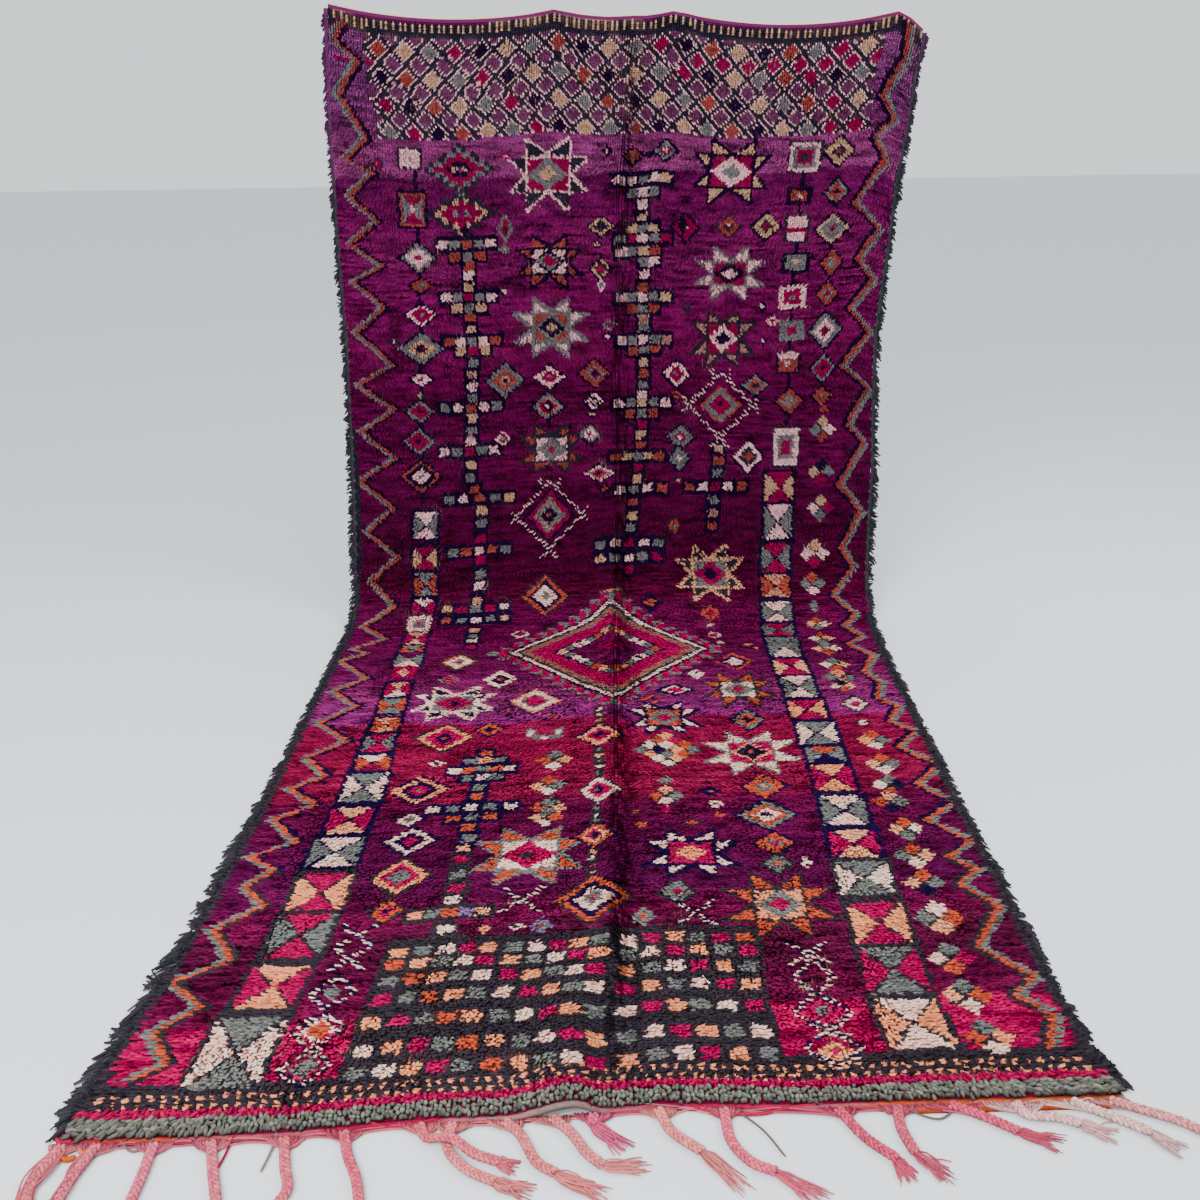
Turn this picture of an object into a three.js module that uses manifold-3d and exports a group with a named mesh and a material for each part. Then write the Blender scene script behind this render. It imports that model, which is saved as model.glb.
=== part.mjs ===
// Boujaad rug: a long knotted wool rug that hangs from its top edge and sweeps forward onto the floor.
// Millimetres, +Z up, the floor at z = 0, +Y towards the hanging end, the origin under the middle of the rug.
import * as THREE from 'three';
import { mergeVertices } from 'three/addons/utils/BufferGeometryUtils.js';
import Module from 'manifold-3d';

const wasm = await Module();
wasm.setup();

// Size of the cloth, measured along it from the top edge
const LENGTH = 4090;
const END_STRIP_DEPTH = 15;
const END_STRIP_THICKNESS = 7;
// The flat-woven end shows deeper towards the right corner
const FLAP_FROM = 0.74;
const FLAP_DEPTH = 14;
const PIECE_GAP = 0.3;

// The line in which the middle of the rug hangs: a chain's curve that runs out level on the floor
const HANG_HEIGHT = 1918;
const CURVE_SIZE = 200;
const FOOT_Y = 845;
const HANGING_LENGTH = Math.sqrt((CURVE_SIZE + HANG_HEIGHT) ** 2 - CURVE_SIZE ** 2);

// Selvedges
const SELVEDGE_WIDTH = 14;
const SELVEDGE_THICKNESS = 11;
const LOCK_SPACING = 50;
const LOCK_ROOT_RADIUS = 5;
const LOCK_TIP_RADIUS = 1.6;

// Fringe
const BRAID_WIDTH = 18;
const BRAID_THICKNESS = 12;
const FAN_WIDTH = 44;
const FAN_LENGTH = 16;
const ROOT_DEPTH = 3;
const TASSEL_SPREAD = 17;
const TASSEL_LOCK_WIDTH = 8;

// Outer lines of the selvedges, down the length of the rug
const outline = [
  { down: 0, left: -914, right: 993 },
  { down: 60, left: -916, right: 988 },
  { down: 150, left: -922, right: 970 },
  { down: 300, left: -930, right: 957 },
  { down: 480, left: -932, right: 931 },
  { down: 720, left: -933, right: 911 },
  { down: 1000, left: -927, right: 881 },
  { down: 1250, left: -926, right: 880 },
  { down: 1480, left: -927, right: 882 },
  { down: 1760, left: -921, right: 861 },
  { down: 1900, left: -909, right: 848 },
  { down: 2290, left: -911, right: 828 },
  { down: 2590, left: -916, right: 830 },
  { down: 3030, left: -921, right: 831 },
  { down: 3240, left: -931, right: 832 },
  { down: 3440, left: -938, right: 838 },
  { down: 3650, left: -951, right: 838 },
  { down: 3820, left: -975, right: 840 },
  { down: 3960, left: -995, right: 855 },
  { down: 4090, left: -1009, right: 888 },
];

// Places across the top where the edge is held up, and how far each hangs below the highest one
const heldPoints = [
  { across: 0, drop: 0, sagToNext: 35 },
  { across: 0.38, drop: 27, sagToNext: 18 },
  { across: 0.582, drop: 37, sagToNext: 38 },
  { across: 0.955, drop: 49, sagToNext: -8 },
  { across: 1, drop: 100, sagToNext: 0 },
];
const DROP_FADES_OVER = 900;

// How much further forward than the middle's even length each part of the front edge reaches
const frontReach = [
  { across: 0, reach: 102 },
  { across: 0.1, reach: 98 },
  { across: 0.2, reach: 90 },
  { across: 0.32, reach: 63 },
  { across: 0.4, reach: 58 },
  { across: 0.5, reach: 42 },
  { across: 0.56, reach: 32 },
  { across: 0.62, reach: 34 },
  { across: 0.7, reach: 38 },
  { across: 0.8, reach: 30 },
  { across: 1, reach: 22 },
];

// Thickness of foundation and pile together, down the length
const thicknessRows = [
  { down: 0, thick: 5 },
  { down: 26, thick: 6 },
  { down: 46, thick: 14 },
  { down: 3990, thick: 15 },
  { down: 4012, thick: 19 },
  { down: 4060, thick: 19 },
  { down: 4075, thick: 10 },
];

// Soft folds that lift the cloth: a place across, the reach to each side, the height, and the start and end
// down the length. The gathers are where the top edge is held.
const folds = [
  { name: 'crease', across: 0.507, left: 75, right: 45, rise: 20, from: -1000, to: 3640, fade: 380 },
  { name: 'front hump', across: 0.472, left: 125, right: 62, rise: 24, from: 3860, to: 6000, fade: 420 },
  { name: 'left corner', across: 0.01, left: 60, right: 90, rise: 12, from: -600, to: 60, fade: 400 },
  { name: 'left gather', across: 0.38, left: 100, right: 90, rise: 16, from: -600, to: 60, fade: 450 },
  { name: 'right gather', across: 0.582, left: 85, right: 95, rise: 16, from: -600, to: 60, fade: 450 },
  { name: 'right corner', across: 0.955, left: 95, right: 70, rise: 15, from: -600, to: 60, fade: 420 },
  { name: 'left swell', across: 0.22, left: 190, right: 200, rise: 12, from: 420, to: 1560, fade: 300 },
  { name: 'right swell', across: 0.76, left: 220, right: 190, rise: 14, from: 420, to: 1520, fade: 320 },
  { name: 'left ripple', across: 0.17, left: 120, right: 170, rise: 6, from: 2500, to: 2700, fade: 260 },
  { name: 'right ripple', across: 0.84, left: 170, right: 130, rise: 7, from: 2950, to: 3250, fade: 300 },
];

// Braids of the fringe: the root across, points [sideways, forward] from the root, and the tassel's end.
// A third number in a point is its lift over the braid below.
const braids = [
  { root: -993, path: [[-18, 50], [-19, 89], [-8, 128]], tassel: [16, 160], locks: 2 },
  { root: -933, path: [[-12, 43], [-21, 91], [-20, 132]], tassel: [-6, 172], locks: 2 },
  { root: -836, path: [[2, 65], [1, 111], [-4, 158]], tassel: [-18, 214], locks: 4 },
  { root: -739, path: [[22, 59], [44, 116], [58, 156]], tassel: [80, 212], locks: 4 },
  { root: -613, path: [[16, 58], [30, 98], [24, 124], [6, 158]], tassel: [-16, 208], locks: 4 },
  { root: -512, path: [[16, 46], [39, 93], [52, 136], [60, 164]], tassel: [84, 218], locks: 4 },
  { root: -383, path: [[18, 26], [62, 40, 14], [103, 60], [148, 78]], tassel: [178, 86], locks: 2 },
  { root: -323, path: [[-7, 36], [5, 66], [39, 98], [82, 119]], tassel: [145, 138], locks: 4 },
  { root: -234, path: [[31, 28], [60, 83], [94, 107]], tassel: [180, 149], locks: 4 },
  { root: -151, path: [[36, 32], [63, 74], [90, 99]], tassel: [168, 98], locks: 4 },
  { root: -76, path: [[-3, 20]], tassel: [58, 70], locks: 5 },
  { root: 37, path: [[22, 46], [71, 89]], tassel: [143, 164], locks: 5 },
  { root: 154, path: [[5, 64], [34, 110], [74, 131]], tassel: [146, 184], locks: 5 },
  { root: 355, path: [[36, 60], [80, 104]], tassel: [98, 150], locks: 3 },
  { root: 461, path: [[-4, 46], [8, 98]], tassel: [62, 150], locks: 4 },
  { root: 554, path: [[56, 26], [103, 57]], tassel: [171, 84], locks: 5 },
  { root: 671, path: [[12, 23], [62, 30], [98, 44]], tassel: [150, 68], locks: 5 },
  { root: 771, path: [[56, 30], [112, 66]], tassel: [150, 106], locks: 4 },
  { root: 839, path: [[54, 21], [101, 43], [132, 65]], tassel: [184, 104], locks: 4 },
];

const colours = {
  pile: 0x5a1748,
  selvedge: 0x2c2f34,
  fringe: 0xd98a8f,
};

// Value of a named column at a place along a table, in straight steps
function columnAt(rows, key, column, place) {
  const last = rows.length - 1;
  const next = Math.min(Math.max(rows.findIndex((row) => row[key] > place), 1), last);
  const index = place >= rows[last][key] ? last : next;
  const before = rows[index - 1];
  const after = rows[index];
  const share = THREE.MathUtils.clamp((place - before[key]) / (after[key] - before[key]), 0, 1);
  return THREE.MathUtils.lerp(before[column], after[column], share);
}

// A repeatable scatter from 0 to 1 for lock number n
function scatter(n) {
  const value = Math.sin(n * 12.9898) * 43758.5453;
  return value - Math.floor(value);
}

function raisedCosine(share) {
  return Math.abs(share) < 1 ? 0.5 * (1 + Math.cos(Math.PI * share)) : 0;
}

function bodyEdge(side, down) {
  const outer = columnAt(outline, 'down', side, down);
  const inward = side === 'left' ? 1 : -1;
  return outer + inward * (SELVEDGE_WIDTH + PIECE_GAP);
}

function sideways(across, down) {
  return THREE.MathUtils.lerp(bodyEdge('left', down), bodyEdge('right', down), across);
}

function topDrop(across) {
  const place = THREE.MathUtils.clamp(across, 0, 1);
  const next = Math.max(heldPoints.findIndex((row) => row.across >= place), 1);
  const before = heldPoints[next - 1];
  const after = heldPoints[next];
  const share = (place - before.across) / (after.across - before.across);
  return THREE.MathUtils.lerp(before.drop, after.drop, share) + before.sagToNext * 4 * share * (1 - share);
}

// How far the folds lift the cloth at a place
function foldRise(across, down) {
  const width = bodyEdge('right', down) - bodyEdge('left', down);
  let rise = 0;
  for (const fold of folds) {
    const offset = (across - fold.across) * width;
    const reach = offset < 0 ? fold.left : fold.right;
    const past = Math.max(fold.from - down, down - fold.to, 0);
    rise += fold.rise * raisedCosine(offset / reach) * raisedCosine(past / fold.fade);
  }
  return rise;
}

// The rug's underside line at a place, with the direction that its pile faces
function hangLine(across, down) {
  const along = down + topDrop(across) * Math.exp(-down / DROP_FADES_OVER)
    + columnAt(frontReach, 'across', 'reach', across) * (down / LENGTH);
  const above = Math.max(HANGING_LENGTH - along, 0);
  const run = Math.hypot(CURVE_SIZE, above);
  const y = FOOT_Y + CURVE_SIZE * Math.asinh(above / CURVE_SIZE) - Math.max(along - HANGING_LENGTH, 0);
  return { y, z: run - CURVE_SIZE, facing: new THREE.Vector2(-above / run, CURVE_SIZE / run) };
}

// A point of the rug: x is given, lift is the height over the underside, square to the cloth
function clothPoint(x, across, down, lift) {
  const line = hangLine(across, down);
  const height = lift + foldRise(across, down);
  return new THREE.Vector3(x, line.y + line.facing.x * height, line.z + line.facing.y * height);
}

// A closed geometry from points and faces, with its faces turned outwards
function closedGeometry(points, faces) {
  let volume = 0;
  for (const [a, b, c] of faces) {
    volume += points[a].dot(new THREE.Vector3().crossVectors(points[b], points[c]));
  }
  const turned = volume < 0 ? faces.map(([a, b, c]) => [a, c, b]) : faces;
  const geometry = new THREE.BufferGeometry();
  geometry.setAttribute('position', new THREE.Float32BufferAttribute(points.flatMap((p) => p.toArray()), 3));
  geometry.setIndex(turned.flat());
  return geometry;
}

// A closed solid through rings of like number of points, with flat fans as its ends
function ringLoft(rings) {
  const size = rings[0].length;
  const points = rings.flat();
  const faces = [];
  for (let r = 0; r + 1 < rings.length; r += 1) {
    for (let i = 0; i < size; i += 1) {
      const a = r * size + i;
      const b = r * size + ((i + 1) % size);
      faces.push([a, b, b + size], [a, b + size, a + size]);
    }
  }
  const lastRing = (rings.length - 1) * size;
  for (let i = 1; i + 1 < size; i += 1) {
    faces.push([0, i + 1, i], [lastRing, lastRing + i, lastRing + i + 1]);
  }
  return closedGeometry(points, faces);
}

// A closed slab between an upper and a lower grid of points
function slab(upper, lower) {
  const rows = upper.length;
  const columns = upper[0].length;
  const points = [...upper.flat(), ...lower.flat()];
  const top = (r, c) => r * columns + c;
  const bottom = (r, c) => rows * columns + r * columns + c;
  const faces = [];
  const quad = (a, b, c, d) => faces.push([a, b, c], [a, c, d]);
  for (let r = 0; r + 1 < rows; r += 1) {
    for (let c = 0; c + 1 < columns; c += 1) {
      quad(top(r, c), top(r + 1, c), top(r + 1, c + 1), top(r, c + 1));
      quad(bottom(r, c), bottom(r, c + 1), bottom(r + 1, c + 1), bottom(r + 1, c));
    }
    quad(top(r, 0), bottom(r, 0), bottom(r + 1, 0), top(r + 1, 0));
    const end = columns - 1;
    quad(top(r, end), top(r + 1, end), bottom(r + 1, end), bottom(r, end));
  }
  for (let c = 0; c + 1 < columns; c += 1) {
    const end = rows - 1;
    quad(top(0, c), top(0, c + 1), bottom(0, c + 1), bottom(0, c));
    quad(top(end, c), bottom(end, c), bottom(end, c + 1), top(end, c + 1));
  }
  return closedGeometry(points, faces);
}

function toManifold(geometry) {
  const bare = geometry.clone();
  bare.deleteAttribute('normal');
  bare.deleteAttribute('uv');
  const merged = mergeVertices(bare, 1e-3);
  return new wasm.Manifold(new wasm.Mesh({
    numProp: 3,
    vertProperties: new Float32Array(merged.attributes.position.array),
    triVerts: new Uint32Array(merged.index.array),
  }));
}

// One geometry from a backing and the strands that are fused into it
function fused(backing, strands) {
  let whole = toManifold(backing);
  for (const strand of strands) {
    whole = whole.add(toManifold(strand));
  }
  const mesh = whole.getMesh();
  const geometry = new THREE.BufferGeometry();
  geometry.setAttribute('position', new THREE.Float32BufferAttribute(mesh.vertProperties, 3));
  geometry.setIndex([...mesh.triVerts]);
  return geometry;
}

// Evenly spaced values from a first to a last one
function spaced(first, last, count) {
  return Array.from({ length: count }, (_, i) => THREE.MathUtils.lerp(first, last, i / (count - 1)));
}

// Sections down the cloth, closest where it bends. Body and selvedges share them, so their sides are parallel.
const BODY_END = LENGTH - END_STRIP_DEPTH - PIECE_GAP;
const HEM_DEPTH = 46;
const BEND_FROM = 1400;
const BEND_TO = 2180;
const sections = [
  0, 26, HEM_DEPTH,
  ...spaced(120, BEND_FROM, 16),
  ...spaced(1480, BEND_TO, 12),
  ...spaced(2300, 3960, 17),
  4012, 4050, BODY_END,
];

// Places across the cloth, closest at the crease; the body and the front strip share them
const nearCrease = [-0.034, -0.022, -0.011, 0, 0.008, 0.016, 0.024].map((offset) => folds[0].across + offset);
const awayFromCrease = spaced(0, 1, 21).filter((place) => Math.abs(place - folds[0].across) > 0.04);
const columns = [...awayFromCrease, ...nearCrease].sort((a, b) => a - b);

function bodyGeometry() {
  const grid = (lifted) => sections.map((down) => columns.map((across) => {
    const lift = lifted ? columnAt(thicknessRows, 'down', 'thick', down) : 0;
    return clothPoint(sideways(across, down), across, down, lift);
  }));
  return slab(grid(true), grid(false));
}

// A lock of pile: a tapering three-sided strand from its root to its tip
function lock(root, tip, rootRadius, tipRadius) {
  const along = new THREE.Vector3().subVectors(tip, root).normalize();
  const side = new THREE.Vector3().crossVectors(along, new THREE.Vector3(0, 0, 1)).normalize();
  const up = new THREE.Vector3().crossVectors(side, along);
  const ring = (centre, radius) => [0, 1, 2].map((i) => {
    const turn = (i * 2 * Math.PI) / 3 + Math.PI / 2;
    const out = side.clone().multiplyScalar(Math.cos(turn)).addScaledVector(up, Math.sin(turn));
    return centre.clone().addScaledVector(out, radius);
  });
  return ringLoft([ring(root, rootRadius), ring(tip, tipRadius)]);
}

// One length of selvedge: an edge cord outside the body's edge, with locks that stick out from it
function selvedgeGeometry(side, from, to, lockLength) {
  const outward = side === 'left' ? -1 : 1;
  const across = side === 'left' ? 0 : 1;
  const inside = sections.filter((down) => down > from + 1 && down < to - 1);
  const rings = [from, ...inside, to].map((down) => {
    const outer = columnAt(outline, 'down', side, down);
    const inner = outer - outward * SELVEDGE_WIDTH;
    return [
      clothPoint(inner, across, down, 0),
      clothPoint(outer, across, down, 0),
      clothPoint(outer, across, down, SELVEDGE_THICKNESS * 0.6),
      clothPoint(inner, across, down, SELVEDGE_THICKNESS),
    ];
  });
  const locks = [];
  const count = Math.floor((to - from) / LOCK_SPACING);
  for (let i = 0; i < count; i += 1) {
    const chance = scatter(from + i * 7 + across * 31);
    const down = from + (i + 0.5) * LOCK_SPACING;
    const outer = columnAt(outline, 'down', side, down);
    const reach = lockLength * (0.55 + 0.9 * chance);
    const root = clothPoint(outer - outward * 5, across, down, LOCK_ROOT_RADIUS + 0.6);
    const sweep = 0.5 * reach * (scatter(i + 3) - 0.3);
    const tip = clothPoint(outer + outward * reach, across, down + sweep, LOCK_TIP_RADIUS + 1 + 5 * chance);
    locks.push(lock(root, tip, LOCK_ROOT_RADIUS, LOCK_TIP_RADIUS));
  }
  return fused(ringLoft(rings), locks);
}

// Place across, from 0 to 1, of a sideways position on the front edge
function frontAcross(x) {
  const left = bodyEdge('left', LENGTH);
  return (x - left) / (bodyEdge('right', LENGTH) - left);
}

// A plait that lies on the floor: a flat-bottomed four-sided strand, spread as a fan at its root
function braidGeometry(row) {
  const across = frontAcross(row.root);
  const edge = clothPoint(row.root, across, LENGTH - ROOT_DEPTH, 0);
  const front = clothPoint(row.root, across, LENGTH, 0);
  const stops = [new THREE.Vector3(edge.x, edge.y, edge.z)];
  for (const [along, forward, lift = 0] of row.path) {
    stops.push(new THREE.Vector3(row.root + along, front.y - forward, lift));
  }
  const curve = new THREE.CatmullRomCurve3(stops, false, 'centripetal');
  const total = curve.getLength();
  const steps = Math.max(3, Math.round(total / 26));
  const fan = Math.min(FAN_LENGTH / total, 0.3);
  const shares = [0, fan, ...spaced(fan * 1.8, 1, steps)];
  const rings = shares.map((share, i) => {
    const centre = curve.getPointAt(share);
    const along = curve.getTangentAt(share).setZ(0).normalize();
    const side = i === 0 ? new THREE.Vector3(1, 0, 0) : new THREE.Vector3(-along.y, along.x, 0);
    const width = i === 0 ? FAN_WIDTH : BRAID_WIDTH;
    const thick = i === 0 ? BRAID_THICKNESS / 2 : BRAID_THICKNESS;
    const low = Math.max(centre.z, 0);
    const corner = (half, height) => new THREE.Vector3(
      centre.x + side.x * half, centre.y + side.y * half, low + height);
    return [corner(-width / 2, 0), corner(width / 2, 0), corner(width / 3, thick), corner(-width / 3, thick)];
  });
  return { geometry: ringLoft(rings), end: stops[stops.length - 1], front };
}

// The loose end of a plait: a few flat-bottomed locks that spread from its end
function tasselGeometries(row, braid) {
  const tip = new THREE.Vector3(row.root + row.tassel[0], braid.front.y - row.tassel[1], 0);
  const along = new THREE.Vector3().subVectors(tip, braid.end).setZ(0);
  const length = along.length();
  along.normalize();
  const side = new THREE.Vector3(-along.y, along.x, 0);
  return spaced(-1, 1, row.locks).map((place, i) => {
    const reach = length * (0.84 + 0.3 * scatter(row.root + i));
    const section = (share, width, thick) => {
      const offset = place * (3 + (TASSEL_SPREAD - 3) * share ** 0.8);
      const centre = braid.end.clone().setZ(0).addScaledVector(along, reach * share - 6 * (1 - share));
      centre.addScaledVector(side, offset);
      return [
        centre.clone().addScaledVector(side, -width / 2),
        centre.clone().addScaledVector(side, width / 2),
        centre.clone().add(new THREE.Vector3(0, 0, thick)),
      ];
    };
    return ringLoft([
      section(0, TASSEL_LOCK_WIDTH, BRAID_THICKNESS - 3),
      section(0.5, TASSEL_LOCK_WIDTH - 1, 7),
      section(1, TASSEL_LOCK_WIDTH / 2, 3),
    ]);
  });
}

function fringeGeometry() {
  const flapDepth = (across) => FLAP_DEPTH * THREE.MathUtils.smoothstep(across, FLAP_FROM, FLAP_FROM + 0.06);
  const strip = (lift) => [0, END_STRIP_DEPTH].map((forward) => columns.map((across) => {
    const down = LENGTH - END_STRIP_DEPTH + forward + (forward > 0 ? flapDepth(across) : 0);
    return clothPoint(sideways(across, down), across, down, lift);
  }));
  const strands = [];
  for (const row of braids) {
    const braid = braidGeometry(row);
    strands.push(braid.geometry, ...tasselGeometries(row, braid));
  }
  return fused(slab(strip(END_STRIP_THICKNESS), strip(0)), strands);
}

function piece(name, geometry, colour) {
  const material = new THREE.MeshStandardMaterial({ color: colour, roughness: 0.95, metalness: 0 });
  const mesh = new THREE.Mesh(geometry, material);
  mesh.name = name;
  return mesh;
}

// Lengths in which each selvedge is made, with the usual length of its locks
const selvedgeLengths = [
  { name: 'hanging', from: HEM_DEPTH, to: BEND_FROM, lockLength: 12 },
  { name: 'bend', from: BEND_FROM + PIECE_GAP, to: BEND_TO, lockLength: 18 },
  { name: 'floor', from: BEND_TO + PIECE_GAP, to: BODY_END, lockLength: 32 },
];

const rug = new THREE.Group();
rug.add(piece('rug_body', bodyGeometry(), colours.pile));
for (const side of ['left', 'right']) {
  for (const row of selvedgeLengths) {
    const geometry = selvedgeGeometry(side, row.from, row.to, row.lockLength);
    rug.add(piece(`${side}_selvedge_${row.name}`, geometry, colours.selvedge));
  }
}
rug.add(piece('front_fringe', fringeGeometry(), colours.fringe));

export default rug;
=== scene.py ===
import math

import bmesh
import bpy
import numpy as np
from mathutils import Matrix, Vector


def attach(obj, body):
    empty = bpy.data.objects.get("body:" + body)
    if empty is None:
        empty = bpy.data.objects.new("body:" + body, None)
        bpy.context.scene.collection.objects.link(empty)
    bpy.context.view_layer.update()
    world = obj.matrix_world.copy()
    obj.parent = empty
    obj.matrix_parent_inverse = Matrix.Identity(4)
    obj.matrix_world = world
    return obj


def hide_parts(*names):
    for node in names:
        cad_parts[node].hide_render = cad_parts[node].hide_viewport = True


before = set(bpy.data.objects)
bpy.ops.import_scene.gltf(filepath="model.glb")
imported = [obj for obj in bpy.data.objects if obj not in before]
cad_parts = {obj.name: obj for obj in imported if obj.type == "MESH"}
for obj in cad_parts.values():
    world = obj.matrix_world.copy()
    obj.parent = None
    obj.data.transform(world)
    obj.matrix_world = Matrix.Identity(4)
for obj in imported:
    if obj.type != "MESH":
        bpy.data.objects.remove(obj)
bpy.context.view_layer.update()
scene = bpy.context.scene
MM = 0.001


# Camera: at a standing person's eye height, a little over the rug's front end, looking down at its middle.
# 35.9 mm lens on a 36 mm sensor, for a square picture. Its backward and upward ways fit the photo's perspective.
camera_data = bpy.data.cameras.new("camera")
camera_data.lens = 35.91
camera_data.sensor_width = 36
camera_data.clip_end = 60
camera = bpy.data.objects.new("camera", camera_data)
scene.collection.objects.link(camera)
scene.camera = camera
backward = Vector((3, -519, 1197)).normalized()
upward = -Vector((45, 2761, 1197)).normalized()
upward = (upward - backward * upward.dot(backward)).normalized()
rightward = backward.cross(upward)
eye = Vector((-37, -2755, 1680)) * MM
camera.matrix_world = Matrix((
    (rightward.x, -rightward.y, -rightward.z, eye.x),
    (backward.x, -backward.y, -backward.z, eye.y),
    (upward.x, -upward.y, -upward.z, eye.z),
    (0, 0, 0, 1),
))


# Floor and light: a plain pale matt floor, a bright even room and two broad soft lamps.
# The taller lamp stands in front and above, so the lying half is the brightest.
def linear(hex_colour):
    channels = [int(hex_colour[i:i + 2], 16) / 255 for i in (1, 3, 5)]
    return [c / 12.92 if c <= 0.04045 else ((c + 0.055) / 1.055) ** 2.4 for c in channels]


def add_node(tree, kind, inputs=None, **settings):
    """Adds a node, sets its properties, and fills its inputs with values or with other nodes' outputs."""
    node = tree.nodes.new(kind)
    for name, value in settings.items():
        setattr(node, name, value)
    for name, value in (inputs or {}).items():
        if isinstance(value, bpy.types.NodeSocket):
            tree.links.new(value, node.inputs[name])
        else:
            node.inputs[name].default_value = value
    return node


def new_material(name):
    material = bpy.data.materials.new(name)
    material.use_nodes = True
    material.node_tree.nodes.clear()
    return material, material.node_tree


floor_material, tree = new_material("matt_pale_floor")
shader = add_node(tree, "ShaderNodeBsdfPrincipled", {"Base Color": (*linear("#dce2e6"), 1), "Roughness": 0.8})
add_node(tree, "ShaderNodeOutputMaterial", {"Surface": shader.outputs[0]})
shape = bmesh.new()
bmesh.ops.create_grid(shape, x_segments=1, y_segments=1, size=14, matrix=Matrix.Translation((0, 6, -0.0005)))
floor_mesh = bpy.data.meshes.new("floor")
shape.to_mesh(floor_mesh)
shape.free()
floor = bpy.data.objects.new("floor", floor_mesh)
scene.collection.objects.link(floor)
floor_mesh.materials.append(floor_material)

world = bpy.data.worlds.new("bright_even_room")
scene.world = world
world.use_nodes = True
background = world.node_tree.nodes["Background"]
background.inputs["Color"].default_value = (*linear("#e3e7ea"), 1)
background.inputs["Strength"].default_value = 1.45
for name, place, size, power in (
    ("front_lamp", (-1.6, -3.4, 3.6), 3.0, 315),
    ("side_lamp", (2.8, 0.4, 3.2), 2.2, 80),
):
    lamp_data = bpy.data.lights.new(name, "AREA")
    lamp_data.size = size
    lamp_data.energy = power
    lamp = bpy.data.objects.new(name, lamp_data)
    lamp.location = place
    lamp.rotation_euler = (Vector((0, 0, 0.5)) - Vector(place)).to_track_quat("-Z", "Y").to_euler()
    scene.collection.objects.link(lamp)


# Woven foundation: the wool warp and weft that every knot is tied on, one sheet 3 mm thick in the true hang.
# It hangs in a chain's curve from its uneven top edge, and its folds are low ridges that fade out down the rug.
LENGTH = 4090.0
PILE_END = 4036.0
STRIP_START = PILE_END + 36
HANG_HEIGHT = 1918.0
CURVE_SIZE = 200.0
FOOT_Y = 845.0
HANGING_LENGTH = math.sqrt((CURVE_SIZE + HANG_HEIGHT) ** 2 - CURVE_SIZE ** 2)
DROP_FADES_OVER = 900
SELVEDGE_WIDE = 14.3
FOUNDATION_LIFTS = (3.4, 0.6)

# Outer lines of the selvedges: down the rug, left, right
outline = np.array([
    (0, -914, 993), (60, -916, 988), (150, -922, 970), (300, -930, 957), (480, -932, 931), (720, -933, 911),
    (1000, -927, 881), (1250, -926, 880), (1480, -927, 882), (1760, -921, 861), (1900, -909, 848),
    (2290, -911, 828), (2590, -916, 830), (3030, -921, 831), (3240, -931, 832), (3440, -938, 838),
    (3650, -951, 838), (3820, -975, 840), (3960, -995, 855), (4090, -1009, 888),
], float)
# Places where the top edge is held: share across, drop below the highest one, sag up to the next one
held = np.array([(0, 0, 35), (0.38, 27, 18), (0.582, 37, 38), (0.955, 49, -8), (1, 100, 0)])
# How much further forward each part of the front edge reaches: share across, reach
front_reach = np.array([
    (0, 102), (0.1, 98), (0.2, 90), (0.32, 63), (0.4, 58), (0.5, 42), (0.56, 32), (0.62, 34), (0.7, 38),
    (0.8, 30), (1, 22),
])
# How much further forward each part of the front edge reaches: share across, reach
front_reach = np.array([
    (0, 102), (0.1, 98), (0.2, 90), (0.32, 63), (0.4, 58), (0.5, 42), (0.56, 32), (0.62, 34), (0.7, 38),
    (0.8, 30), (1, 22),
])
# Folds: share across, reach to the left and right, rise, start and end down the rug, fade
folds = (
    (0.507, 75, 45, 20, -1000, 3640, 380),
    (0.472, 125, 62, 24, 3860, 6000, 420),
    (0.01, 60, 90, 12, -600, 60, 400),
    (0.38, 100, 90, 16, -600, 60, 450),
    (0.582, 85, 95, 16, -600, 60, 450),
    (0.955, 95, 70, 15, -600, 60, 420),
    (0.22, 190, 200, 12, 420, 1560, 300),
    (0.76, 220, 190, 14, 420, 1520, 320),
    (0.17, 120, 170, 6, 2500, 2700, 260),
    (0.84, 170, 130, 7, 2950, 3250, 300),
)


def raised_cosine(share):
    return np.where(np.abs(share) < 1, 0.5 * (1 + np.cos(np.pi * share)), 0)


def pile_edges(down):
    left = np.interp(down, outline[:, 0], outline[:, 1]) + SELVEDGE_WIDE
    right = np.interp(down, outline[:, 0], outline[:, 2]) - SELVEDGE_WIDE
    return left, right


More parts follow.
